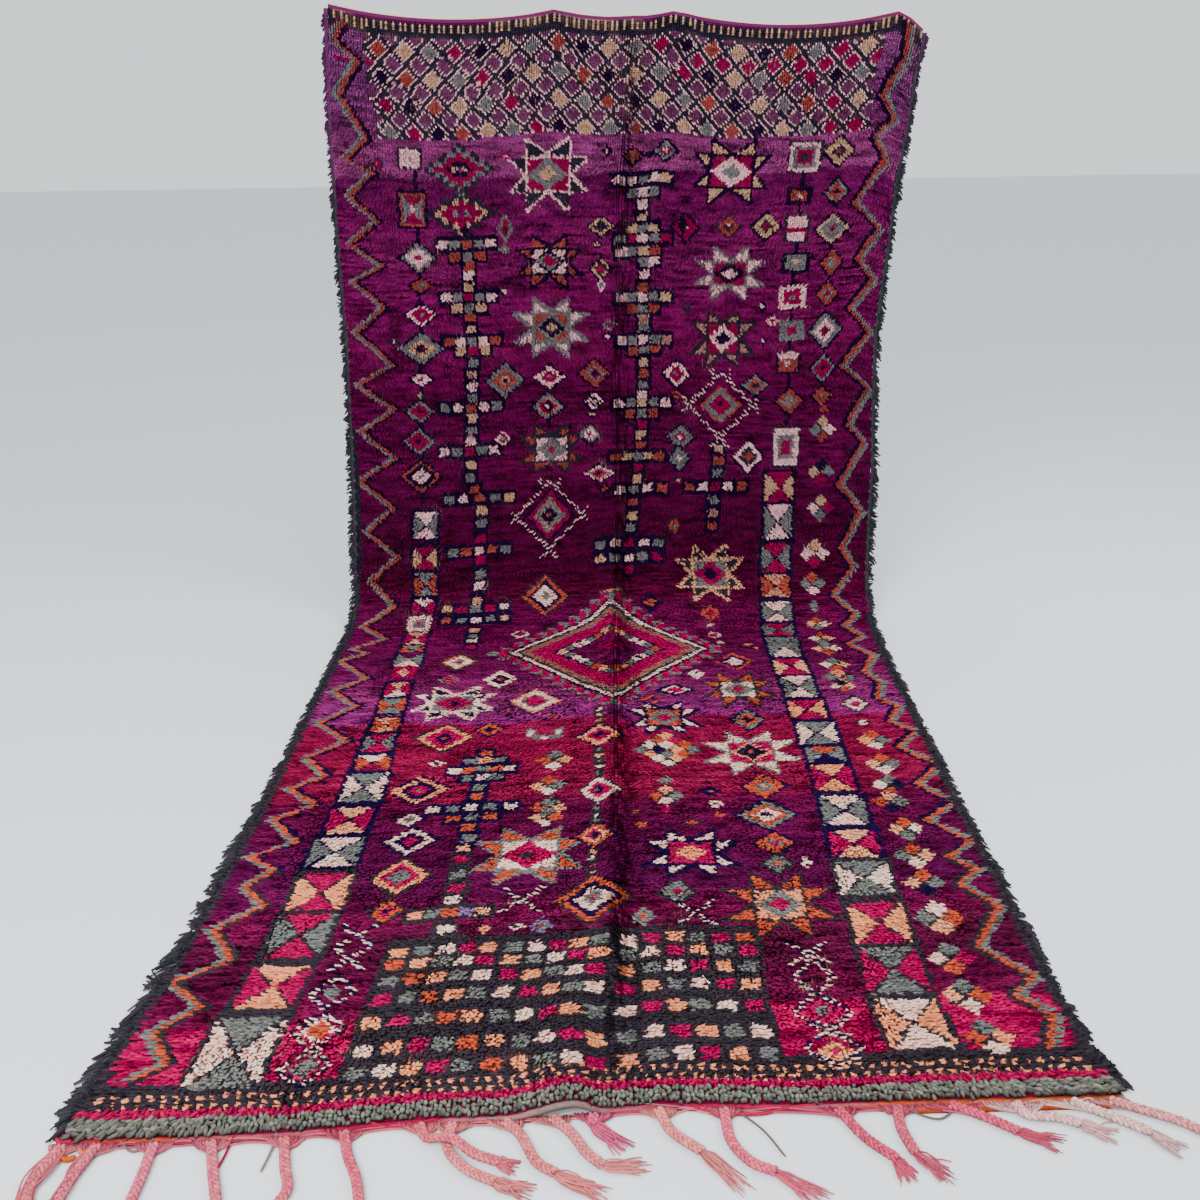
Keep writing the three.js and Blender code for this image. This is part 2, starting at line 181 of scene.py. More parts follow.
def cloth(across, down, lift):
    """Points of the rug in metres, for shares across, millimetres down and millimetres over the underside."""
    across, down, lift = np.broadcast_arrays(*(np.asarray(v, float) for v in (across, down, lift)))
    share_at = np.clip(across, 0, 1)
    after = np.clip(np.searchsorted(held[:, 0], share_at), 1, len(held) - 1)
    start, end = held[after - 1], held[after]
    part = (share_at - start[..., 0]) / (end[..., 0] - start[..., 0])
    drop = start[..., 1] + (end[..., 1] - start[..., 1]) * part + start[..., 2] * 4 * part * (1 - part)
    along = down + drop * np.exp(-down / DROP_FADES_OVER) + np.interp(share_at, *front_reach.T) * down / LENGTH
    above = np.maximum(HANGING_LENGTH - along, 0)
    run = np.hypot(CURVE_SIZE, above)
    left, right = pile_edges(down)
    height = lift.copy()
    for middle, reach_left, reach_right, rise, first, last, fade in folds:
        offset = (across - middle) * (right - left)
        past = np.maximum(np.maximum(first - down, down - last), 0)
        sideways = raised_cosine(offset / np.where(offset < 0, reach_left, reach_right))
        height += rise * sideways * raised_cosine(past / fade)
    y = FOOT_Y + CURVE_SIZE * np.arcsinh(above / CURVE_SIZE) - np.maximum(along - HANGING_LENGTH, 0)
    z = run - CURVE_SIZE + CURVE_SIZE / run * height
    return np.stack((left + across * (right - left), y - above / run * height, z), -1) * MM


def unit(ways):
    return ways / np.linalg.norm(ways, axis=-1, keepdims=True)


def piece_from(name, points, faces, material, smooth=True):
    """A mesh object at the origin, from arrays: points as rows, faces as groups of rows of point numbers."""
    points = np.asarray(points, np.float32).reshape(-1, 3)
    groups = [np.asarray(group, np.int32) for group in faces]
    sizes = np.concatenate([np.full(len(g), g.shape[1], np.int32) for g in groups])
    mesh = bpy.data.meshes.new(name)
    mesh.vertices.add(len(points))
    mesh.vertices.foreach_set("co", points.ravel())
    mesh.loops.add(int(sizes.sum()))
    mesh.loops.foreach_set("vertex_index", np.concatenate([g.ravel() for g in groups]))
    mesh.polygons.add(len(sizes))
    mesh.polygons.foreach_set("loop_start", np.concatenate([[0], np.cumsum(sizes)[:-1]]).astype(np.int32))
    mesh.polygons.foreach_set("use_smooth", np.full(len(sizes), smooth))
    mesh.update(calc_edges=True)
    mesh.validate()
    mesh.materials.append(material)
    piece = bpy.data.objects.new(name, mesh)
    scene.collection.objects.link(piece)
    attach(piece, "root")
    return piece


def slab(name, across, down, lifts, material):
    """A closed piece of cloth, over a grid of shares across and millimetres down, between two lifts."""
    grids = [cloth(across, down, lift) for lift in lifts]
    rows, columns = grids[0].shape[:2]
    count = rows * columns
    corner = np.arange(rows - 1)[:, None] * columns + np.arange(columns - 1)
    upper = np.stack([corner, corner + columns, corner + columns + 1, corner + 1], -1).reshape(-1, 4)
    numbers = np.arange(count).reshape(rows, columns)
    rim = np.concatenate([numbers[0, :-1], numbers[:-1, -1], numbers[-1, :0:-1], numbers[:0:-1, 0]])
    following = np.roll(rim, -1)
    sides = np.stack([rim, following, following + count, rim + count], -1)
    return piece_from(name, np.stack(grids), [upper, upper[:, ::-1] + count, sides], material)


def like_faces(count, points_each, *groups):
    """Faces of many like parts, each with its own run of points and the same groups of faces."""
    first = np.arange(count)[:, None, None] * points_each
    return [(first + group).reshape(-1, np.shape(group)[1]) for group in groups]


def dye(piece, colours):
    """Stores linear yarn colours, each for a like run of points, as the attribute that the wools read."""
    colours = np.reshape(colours, (-1, 3))
    points = len(piece.data.vertices)
    values = np.ones((points, 4), np.float32)
    values[:, :3] = np.repeat(colours, points // len(colours), axis=0)
    piece.data.attributes.new("yarn", "FLOAT_COLOR", "POINT").data.foreach_set("color", values.ravel())


# The weaver's chart: one cell for each knot, 7.3 mm across and 7.5 mm down, filled in by simple shapes.
# Letters are the dyed yarns. G is the ground, whose dye changes down the rug. The chart is 1800 mm wide between
# two side lines of its own, which run a little inside the wavering selvedges.
KNOTS_ACROSS = 246
KNOT_TALL = 7.5
FLAT_WIDE = 1800.0
PILE_START = 14.0
KNOT_ROWS = int((PILE_END - PILE_START) / KNOT_TALL)
# Ground, mauve, charcoal, navy, crimson, orange, straw, peach, pale pink, sage, lilac and hem purple: each dye as
# it looks on the lying half, and then on the hanging half, where most are darker with painted shade
yarns = {
    "G": ("#5c003c", "#5c003c"),
    "M": ("#5f2d50", "#5f2d50"),
    "K": ("#322b33", "#272231"),
    "N": ("#1c0b38", "#1a062a"),
    "C": ("#a3004a", "#7f003c"),
    "O": ("#b74932", "#893935"),
    "Y": ("#e79a75", "#b1876d"),
    "P": ("#ee8f66", "#986762"),
    "W": ("#ffc2b2", "#d8a2a7"),
    "S": ("#6b6c69", "#676366"),
    "L": ("#75588a", "#75588a"),
    "H": ("#521541", "#521541"),
}
# Side lines of the design: down the rug, left, right
design_sides = np.array([
    (0, -889, 971), (30, -889, 963), (150, -890, 930), (360, -891, 910), (600, -889, 883), (850, -892, 861),
    (1200, -902, 856), (1480, -906, 846), (1760, -907, 830), (1900, -896, 825), (2290, -901, 823),
    (2590, -908, 837), (3030, -907, 835), (3440, -919, 813), (3650, -936, 811), (3820, -961, 814),
    (3960, -979, 837), (4090, -995, 874),
], float)
letters = "".join(yarns)
random = np.random.default_rng(28)
row_number, column_number = np.indices((KNOT_ROWS, KNOTS_ACROSS))
knot_x = (column_number + 0.5) * FLAT_WIDE / KNOTS_ACROSS
knot_d = PILE_START + (row_number + 0.5) * KNOT_TALL


def soft_noise(cell_x, cell_d, seed):
    """Smooth values from -1 to 1 over the chart, with cells of the given size in millimetres."""
    source = np.random.default_rng(seed)
    rows, columns = int(4100 / cell_d) + 3, int(FLAT_WIDE / cell_x) + 3
    values = source.uniform(-1, 1, (rows, columns))
    u, v = knot_x / cell_x, knot_d / cell_d
    i, j = v.astype(int), u.astype(int)
    s, t = v - i, u - j
    s, t = s * s * (3 - 2 * s), t * t * (3 - 2 * t)
    top = values[i, j] * (1 - t) + values[i, j + 1] * t
    return top * (1 - s) + (values[i + 1, j] * (1 - t) + values[i + 1, j + 1] * t) * s


def scatter(spread):
    return random.normal(0, spread, knot_x.shape)


# Which way each tuft lies: degrees from straight down the rug, to the right when positive. Whole patches lie
# alike, outwards beside the selvedges, and only at the crease do the ends lie lengthwise. Then how far each
# leans over, and its length: shorter in the upper part, longer towards the selvedges of the lying half.
CREASE_AT = 0.512
SIDEWAYS, LEAN, TUFT_LONG = 64, 55, 15
crease_x = knot_x - CREASE_AT * FLAT_WIDE
edge_x = np.minimum(knot_x, FLAT_WIDE - knot_x)
swept = np.clip((knot_d - 1700) / 700, 0, 1) * np.clip(1 - edge_x / 160, 0, 1)
lies_right = soft_noise(230, 170, 9) + 0.25 * soft_noise(60, 60, 10) + 2.2 * swept * np.sign(crease_x)
lies_right += scatter(0.14)
calm = np.interp(knot_d, [330, 430, 1600, 2200], [0.5, 0.62, 0.62, 1])
heading = (np.clip(lies_right * 4, -1, 1) * SIDEWAYS + scatter(13)) * calm
at_crease = raised_cosine(crease_x / np.where(crease_x < 0, 34, 66)) * np.clip((3500 - knot_d) / 400, 0, 1)
heading = heading * (1 - at_crease) + (crease_x * 0.5 + scatter(8)) * at_crease
heading = np.radians(heading * np.interp(knot_d, [14, 56, 90, 4100], [0.1, 0.1, 1, 1]))
tilt = np.radians(LEAN + scatter(7) + 12 * swept - 22 * at_crease)
long = (TUFT_LONG + scatter(1.4)) * np.interp(knot_d, [14, 50, 80, 4100], [0.5, 0.62, 1, 1])
long *= 1 + 0.7 * swept * np.clip(1 - edge_x / 60, 0, 1)
long *= np.interp(knot_d, [1500, 2100], [0.82, 1])

# The chart is read where each tuft's end shows, and a little further back on the crest of the crease.
# Hand-knotted lines waver by a few millimetres.
SHOWS_AT = 0.62
left_edge, right_edge = pile_edges(knot_d)
place_x = left_edge + knot_x / FLAT_WIDE * (right_edge - left_edge)
place_x += SHOWS_AT * long * np.sin(tilt) * np.sin(heading)
end_d = knot_d + SHOWS_AT * long * np.sin(tilt) * np.cos(heading)
side_left, side_right = (np.interp(end_d, design_sides[:, 0], design_sides[:, c]) for c in (1, 2))
end_x = (place_x - side_left) / (side_right - side_left) * FLAT_WIDE
crest = raised_cosine((end_x - 913) / np.where(end_x < 913, 78, 50))
end_d = end_d - crest * np.interp(knot_d, [1950, 2300, 3400, 3640], [0, 32, 23, 0])
end_d = end_d - 20 * raised_cosine((end_x - 880) / 170) * np.clip((knot_d - 3500) / 150, 0, 1)
wavy_x = end_x + 2.5 * soft_noise(70, 90, 1) + scatter(1.2)
wavy_d = end_d + 2.5 * soft_noise(80, 70, 2) + scatter(0.9)
chart = np.zeros(knot_x.shape, int)


def knot_in(where, letter):
    chart[where] = letters.index(letter)


def ringed(share, rings):
    """Fills from the rim, share 1, to the middle, share 0, with one letter for each ring."""
    ring = ((1 - share) * len(rings)).astype(int)
    for number, letter in enumerate(rings):
        knot_in((share < 1) & (ring == number), letter)


def lozenge(x, d, wide, tall, rings):
    ringed(np.abs(wavy_x - x) / wide + np.abs(wavy_d - d) / tall, rings)


def stepped(x, d, wide, tall, rings, cell):
    """A lozenge with stair edges, as if made of small square blocks."""
    steps_x, steps_d = np.floor(np.abs(wavy_x - x) / cell + 0.5), np.floor(np.abs(wavy_d - d) / cell + 0.5)
    ringed(steps_x * cell / wide + steps_d * cell / tall, rings)


def block(x, d, wide, tall, rings):
    ringed(np.maximum(np.abs(wavy_x - x) / wide, np.abs(wavy_d - d) / tall), rings)


def between(at, places, values):
    """Points or colours at the given places, between those in the table."""
    return np.stack([np.interp(at, places, part) for part in np.transpose(values)], -1)


def dye_between(at, stops):
    places, colours = zip(*stops)
    return between(at, places, [linear(colour) for colour in colours])


# The ground's colour: down the rug, colour. Its dye batches change from mauve to plum, violet and raspberry, and
# the dark stops round the bend, from 1560 to 1900 mm, are partly painted shade.
ground_dyes_and_shade = (
    (0, "#621b53"), (60, "#723466"), (200, "#6a2c61"), (340, "#6a2558"), (380, "#782c61"),
    (478, "#7f3165"), (492, "#580844"), (620, "#680a4c"), (760, "#6a104c"), (900, "#660648"),
    (1060, "#670845"), (1120, "#600442"), (1180, "#540237"), (1300, "#540239"), (1450, "#58023b"),
    (1560, "#4c0332"), (1830, "#440228"), (1900, "#51042d"), (1960, "#580439"), (2100, "#660543"),
    (2260, "#5b0b3e"), (2400, "#6c0e4d"), (2480, "#792458"), (2600, "#7f2166"), (2672, "#852066"),
    (2680, "#8a1243"), (2860, "#7e1038"), (2980, "#81133c"), (3050, "#791138"), (3090, "#5e0b3a"),
    (3300, "#55093b"), (3430, "#520a3c"), (3550, "#670c3b"), (3580, "#551134"), (3690, "#4e0c30"),
    (3725, "#560b33"), (3815, "#6a103c"), (3830, "#a9004b"), (3960, "#940041"),
)
ground = dye_between(end_d + 26 * soft_noise(260, 400, 3) + 10 * soft_noise(60, 300, 4), ground_dyes_and_shade)

# Top band: under the purple hem, upright dashes, cream and charcoal by turns, and then a charcoal line
hem_x, hem_deep = [0, 60, 420, 650, 800, 990, 1048, 1200, 1650, 1800], [8, 20, 20, 10, 18, 18, 10, 19, 19, 8]
hem = np.interp(knot_x, hem_x, hem_deep)
below_hem = knot_d - hem - 3 * soft_noise(90, 60, 18)
knot_in(knot_d < 60, "K")
hem_dashes = (below_hem < 26) & ((column_number * 3 + 3) // 8 != column_number * 3 // 8)
knot_in(hem_dashes, "Y")
knot_in(below_hem < 0, "H")

# Lattice band: dyed lozenges seven knots wide, in four rows, with mauve ones between them. Each is ringed with
# single pale knots, and two charcoal lines part the rings.
LATTICE = 11
lattice_rows = ("OYSCNYSONYSCNOYNOSCY", "NOYSCNYSONYSCNYSOCNS", "CNOYSCNYSONYSONYSOCY", "SCNOYSCNYSONYSONYSCC")
end_column = np.rint(end_x * KNOTS_ACROSS / FLAT_WIDE - 0.5).astype(int)
end_row = np.rint((end_d - PILE_START) / KNOT_TALL - 0.5).astype(int)
leans = np.rint((1 - end_x / FLAT_WIDE) * (end_d - 105) / 62).astype(int)
tilts = np.rint(2 * end_x / FLAT_WIDE).astype(int)
from_column, from_row = end_column - 18 - leans, end_row - 12 + tilts
near_u, near_v = (from_column + 5) // LATTICE, (from_row + 5) // LATTICE
steps = np.abs(from_column - near_u * LATTICE) + np.abs(from_row - near_v * LATTICE)
in_band = (knot_d > 60) & (from_row < 36) & (from_column > -7) & (from_column < 19 * LATTICE + 7)
pale_knots = (steps == 4) | (steps == 7)
knot_in(in_band, "M")
knot_in(in_band & (steps >= 4) & (steps <= 7), "K")
knot_in(in_band & pale_knots, "W")
for v, row in enumerate(lattice_rows):
    for u, letter in enumerate(row):
        knot_in(in_band & (steps < 4) & (near_u == u) & (near_v == v), letter)
knot_in(in_band & (steps > 7) & (end_d < 165) & (end_d > 90) & (end_x > 1130), "C")
lozenge(22, 62, 26, 26, "C")
block(60, 150, 58, 5, "C")

# Side borders: a triple zigzag down each side, sage outside, then orange, then navy. Turning points: down, x
left_turns = (
    (45, 36), (100, 2), (150, 72), (258, 3), (378, 84), (444, 9), (480, 99), (558, 12), (630, 102), (705, 6),
    (770, 114), (824, 12), (905, 114), (990, 14), (1094, 141), (1160, 18), (1238, 144), (1316, 24), (1405, 144),
    (1483, 12), (1573, 135), (1654, 36), (1741, 150), (1822, 48), (1918, 135), (2008, 36), (2100, 135),
    (2172, 36), (2202, 90), (2262, 14), (2376, 126), (2460, 36), (2553, 129), (2646, 36), (2747, 141),
    (2834, 45), (2927, 120), (2984, 36), (3062, 123), (3122, 30), (3218, 120), (3272, 18), (3326, 99),
    (3386, 42), (3454, 108), (3532, 24), (3628, 99), (3694, 9), (3763, 102), (3832, 36), (3913, 96), (3955, 40),
)
right_turns = (
    (24, 1770), (130, 1790), (258, 1740), (324, 1788), (384, 1734), (450, 1782), (594, 1698), (666, 1795),
    (776, 1734), (836, 1794), (938, 1719), (1004, 1791), (1127, 1701), (1202, 1794), (1328, 1731), (1390, 1791),
    (1534, 1710), (1624, 1794), (1756, 1728), (1822, 1773), (1930, 1692), (2008, 1764), (2076, 1710),
    (2160, 1758), (2214, 1698), (2304, 1764), (2412, 1707), (2484, 1737), (2580, 1704), (2640, 1752),
    (2724, 1710), (2780, 1770), (2864, 1704), (2960, 1788), (3050, 1710), (3134, 1788), (3212, 1704),
    (3302, 1794), (3362, 1725), (3412, 1788), (3466, 1728), (3544, 1797), (3676, 1707), (3772, 1794),
    (3820, 1740), (3880, 1788), (3964, 1740),
)
for turns, inward in ((left_turns, 1), (right_turns, -1)):
    line_d, line_x = np.array(turns, float).T
    offset = (wavy_x - np.interp(wavy_d, line_d, line_x)) * inward
    bordered = (wavy_d > line_d[0]) & (wavy_d < line_d[-1])
    for nearest, farthest, letter in ((-22, -6, "S"), (-6, 8, "O"), (8, 23, "N")):
        knot_in(bordered & (offset >= nearest) & (offset < farthest), letter)
    knot_in(bordered & (wavy_d > 3330) & (offset >= 8) & (offset < 23), "K")

# Charcoal ground at the front end and beside the selvedges
charcoal_wide = np.interp(knot_d, [1250, 1400, 3850, 3990], [0, 12, 14, 22])
knot_in((edge_x < charcoal_wide) & ((knot_x < 900) | (knot_d > 2000)), "K")
knot_in(wavy_d > 3962, "K")

# Eight-point stars: a square with two horns on each side. x, down, half square (wide, tall), reach (wide,
# tall), outline's width, dyes of the outline, the horns and the corners, rings of the middle
stars = (
    (675, 492, 70, 52, 130, 118, 7, "WKC", "SSYY"),
    (684, 769, 58, 41, 118, 92, 9, "NOW", "NSCC"),
    (690, 983, 58, 46, 134, 100, 10, "SWO", "SNNYY"),
    (693, 1390, 57, 41, 112, 86, 9, "KOW", "SSC"),
    (423, 2553, 66, 46, 124, 104, 11, "WNS", "CCN"),
    (705, 3312, 70, 56, 138, 112, 8, "SOW", "CCK"),
    (1278, 474, 70, 50, 124, 108, 9, "NYC", "WWSS"),
    (1299, 803, 58, 40, 118, 90, 7, "SWC", "NNWW"),
    (1284, 1022, 52, 52, 116, 96, 9, "KPC", "WWNN"),
    (1260, 1834, 60, 50, 122, 106, 9, "YKS", "CCNN"),
    (1293, 2510, 54, 48, 116, 118, 9, "KOW", "SSCC"),
    (1053, 2679, 52, 50, 114, 95, 9, "NWO", "SSCC"),
    (1290, 2872, 62, 52, 138, 114, 5, "SWC", "PNNO"),
    (1104, 3329, 57, 45, 124, 96, 10, "NWC", "CPPP"),
    (1302, 3520, 58, 52, 136, 120, 8, "KOP", "SSCC"),
)
for x, d, wide, tall, reach_wide, reach_tall, line, dyes, rings in stars:
    dx, dd = np.abs(wavy_x - x), np.abs(wavy_d - d)
    half_x, half_d = wide + line * 0.6, tall + line * 0.6
    for inset, letter in ((0, dyes[0]), (line, dyes[1])):
        for a, b, reach, u, v in ((half_x, half_d, reach_tall, dx, dd), (half_d, half_x, reach_wide, dd, dx)):
            slant = ((reach - b) * u - a * (v - b)) / math.hypot(a, reach - b)
            horn = (v > b - inset * 0.2) & (v < reach) & (u < a - inset * 0.8) & (slant > inset * 1.25 - 5)
            knot_in(horn, letter)
    block(x, d, half_x, half_d, dyes[0])
    block(x, d, wide - line * 0.5, tall - line * 0.5, dyes[2])
    lozenge(x, d, wide - line * 0.2, tall - line * 0.2, rings)


def dark_round(d):
    """The dye round a motif: navy, but charcoal near the front end."""
    return "K" if d > 3300 else "N"


# Ladders: rows of small squares on a dark ground. First square's x, pitch, down, squares
ladders = (
    (321, 41, 698, "WSOSW"), (361, 43, 737, "OSO"), (408, 41, 769, "O"), (408, 41, 800, "W"), (408, 41, 839, "Y"),
    (329, 39, 871, "WSCSW"), (368, 42, 905, "YSY"), (414, 41, 938, "O"), (415, 41, 974, "Y"),
    (335, 41, 1016, "OWSWO"), (380, 40, 1047, "YCY"), (420, 40, 1088, "S"), (414, 40, 1127, "P"),
    (415, 40, 1166, "W"), (417, 40, 1202, "S"), (321, 45, 1235, "SWOWS"), (414, 40, 1271, "Y"),
    (411, 40, 1316, "S"), (408, 40, 1349, "W"), (315, 44, 1383, "WSCSW"), (408, 40, 1429, "Y"),
    (405, 40, 1474, "S"), (420, 40, 1515, "O"), (330, 53, 1546, "SWOSY"), (445, 40, 1588, "Y"),
    (444, 40, 1633, "S"), (441, 40, 1684, "C"), (345, 47, 1727, "SOWOS"), (441, 40, 1763, "C"),
    (441, 40, 1810, "S"), (435, 40, 1849, "W"), (429, 40, 1906, "Y"), (324, 50, 1937, "YCSCW"),
    (324, 51, 1987, "OSWSY"), (429, 40, 2050, "Y"), (429, 40, 2091, "S"), (430, 40, 2130, "W"),
    (430, 40, 2177, "C"),
    (909, 39, 510, "WWSWY"), (954, 36, 552, "SWS"), (990, 40, 591, "W"), (992, 40, 630, "Y"),
    (957, 38, 666, "YSY"), (921, 39, 698, "SCWSC"), (927, 38, 740, "WSYO"), (1005, 36, 776, "SW"),
    (1011, 40, 817, "W"), (1008, 40, 859, "O"), (933, 38, 890, "WSWSY"), (972, 38, 929, "OSO"),
    (1011, 40, 965, "P"), (1011, 40, 992, "S"), (933, 39, 1031, "WSWSP"), (975, 38, 1067, "OSO"),
    (1011, 40, 1106, "Y"), (1014, 40, 1145, "O"), (1014, 40, 1184, "S"), (1011, 40, 1217, "W"),
    (927, 41, 1244, "WSYSW"), (966, 41, 1280, "OSO"), (1011, 40, 1316, "C"), (1008, 40, 1352, "Y"),
    (1008, 40, 1387, "O"), (918, 39, 1426, "OYSYO"), (999, 40, 1465, "C"), (996, 40, 1504, "Y"),
    (936, 50, 1538, "WSWO"), (984, 40, 1582, "O"), (981, 40, 1630, "Y"), (978, 40, 1672, "S"),
    (872, 51, 1726, "SWCWS"), (872, 50, 1777, "YSWSC"), (972, 40, 1819, "C"),
    (1281, 40, 1396, "Y"), (1284, 40, 1438, "O"), (1278, 40, 1480, "S"), (1185, 46, 1528, "OWCWO"),
    (1269, 40, 1576, "S"), (1266, 40, 1621, "P"), (1265, 40, 1666, "O"),
    (547, 40, 2843, "O"), (510, 38, 2881, "SPS"), (471, 37, 2925, "WOSOW"), (510, 39, 2963, "SWS"),
    (546, 40, 3011, "S"), (543, 40, 3053, "O"), (437, 50, 3104, "WSWSW"), (495, 49, 3147, "OSO"),
    (543, 40, 3191, "O"), (549, 40, 3235, "S"), (543, 40, 3275, "P"), (543, 40, 3320, "C"), (543, 40, 3374, "S"),
    (547, 40, 3427, "C"), (546, 40, 3469, "W"), (471, 38, 3514, "PSOLY"), (546, 40, 3568, "W"),
)
for x, pitch, d, squares in ladders:
    wide = (len(squares) - 1) * pitch / 2
    block(x + wide, d, wide + 28, 26, dark_round(d))
for x, pitch, d, squares in ladders:
    for number, letter in enumerate(squares):
        block(x + number * pitch, d, 17, 13.5, letter)

# Bow-tie bands: x, half width, from, to, dyes of the top, the sides and the foot
bow_ties = (
    (246, 42, 1585, 1680, "WSW"), (246, 42, 1704, 1788, "CYC"), (243, 40, 1798, 1888, "SOS"),
    (237, 38, 1890, 1962, "WCG"), (234, 38, 2050, 2148, "YCY"), (234, 38, 2150, 2222, "SOS"),
    (234, 42, 2206, 2298, "GSW"), (237, 38, 2406, 2500, "YCW"), (237, 38, 2508, 2604, "SOS"),
    (237, 38, 2626, 2710, "POP"), (234, 42, 2716, 2812, "CSC"), (234, 46, 2826, 2906, "WOG"),
    (235, 54, 2914, 3055, "SWS"), (230, 54, 3072, 3190, "YCY"), (227, 60, 3202, 3320, "WSW"),
    (226, 62, 3340, 3492, "CPC"), (225, 63, 3484, 3632, "CSC"), (222, 62, 3650, 3778, "PCP"),
    (219, 66, 3794, 3980, "SWS"),
    (1500, 50, 1480, 1586, "CYC"), (1500, 50, 1592, 1720, "WSW"), (1494, 50, 1728, 1836, "CSC"),
    (1491, 50, 1840, 1930, "POP"), (1488, 50, 1942, 2046, "WSW"), (1482, 51, 2048, 2146, "CSC"),
    (1482, 51, 2148, 2300, "SSW"), (1483, 50, 2308, 2428, "CYC"), (1483, 50, 2432, 2572, "WSW"),
    (1484, 52, 2586, 2702, "CPC"), (1490, 54, 2716, 2852, "SWS"), (1491, 52, 2862, 2948, "OSN"),
    (1491, 54, 2954, 3088, "PCP"), (1499, 56, 3104, 3242, "WSW"), (1503, 58, 3254, 3366, "YCY"),
    (1510, 62, 3374, 3502, "SWS"), (1514, 62, 3522, 3666, "CPC"), (1514, 62, 3668, 3814, "SCS"),
    (1512, 62, 3822, 3958, "WPW"),
)
for x, wide, first, last, dyes in bow_ties:
    middle, tall = (first + last) / 2, (last - first) / 2
    dx, dd = np.abs(wavy_x - x) / wide, (wavy_d - middle) / tall
    block(x, middle, wide + 12, tall + 9, dark_round(first))
    inside = (dx < 1) & (np.abs(dd) < 0.94)
    for where, letter in zip((-dd > dx + 0.03, dx > np.abs(dd) + 0.09, dd > dx + 0.03), dyes):
        knot_in(inside & where, letter)

# Navy links between the motifs of the two side columns
for x, first, last in ((236, 460, 1560), (1517, 440, 1400)):
    knot_in((np.abs(wavy_x - x) < 7) & (wavy_d > first) & (wavy_d < last), "N")

# Framed squares: x, down, half width, half height, rings. One on the left holds an hourglass.
squares = (
    (219, 429, 42, 36, "KWWWP"), (222, 588, 52, 62, "NOSSSS"), (231, 2002, 42, 44, "WWSC"),
    (238, 2340, 38, 42, "CCCC"),
    (1515, 426, 57, 52, "KWWSSCCKK"), (1512, 549, 46, 30, "NNOOW"), (1512, 660, 46, 44, "KCCC"),
    (1521, 770, 48, 34, "NSSY"), (1521, 887, 46, 37, "WWCCS"), (1521, 998, 44, 37, "SSSCC"),
    (1515, 1109, 43, 34, "NOOW"), (1518, 1396, 50, 72, "KWWWSSCCC"),
    (1512, 636, 34, 18, "W"), (1512, 684, 30, 14, "W"), (1515, 1084, 34, 10, "W"),
)
for row in squares:
    block(*row)
hourglass = (np.abs(wavy_x - 222) < np.abs(wavy_d - 588) * 0.9 - 4) & (np.abs(wavy_d - 588) < 42)
knot_in(hourglass, "C")
lozenge(222, 588, 13, 12, "W")

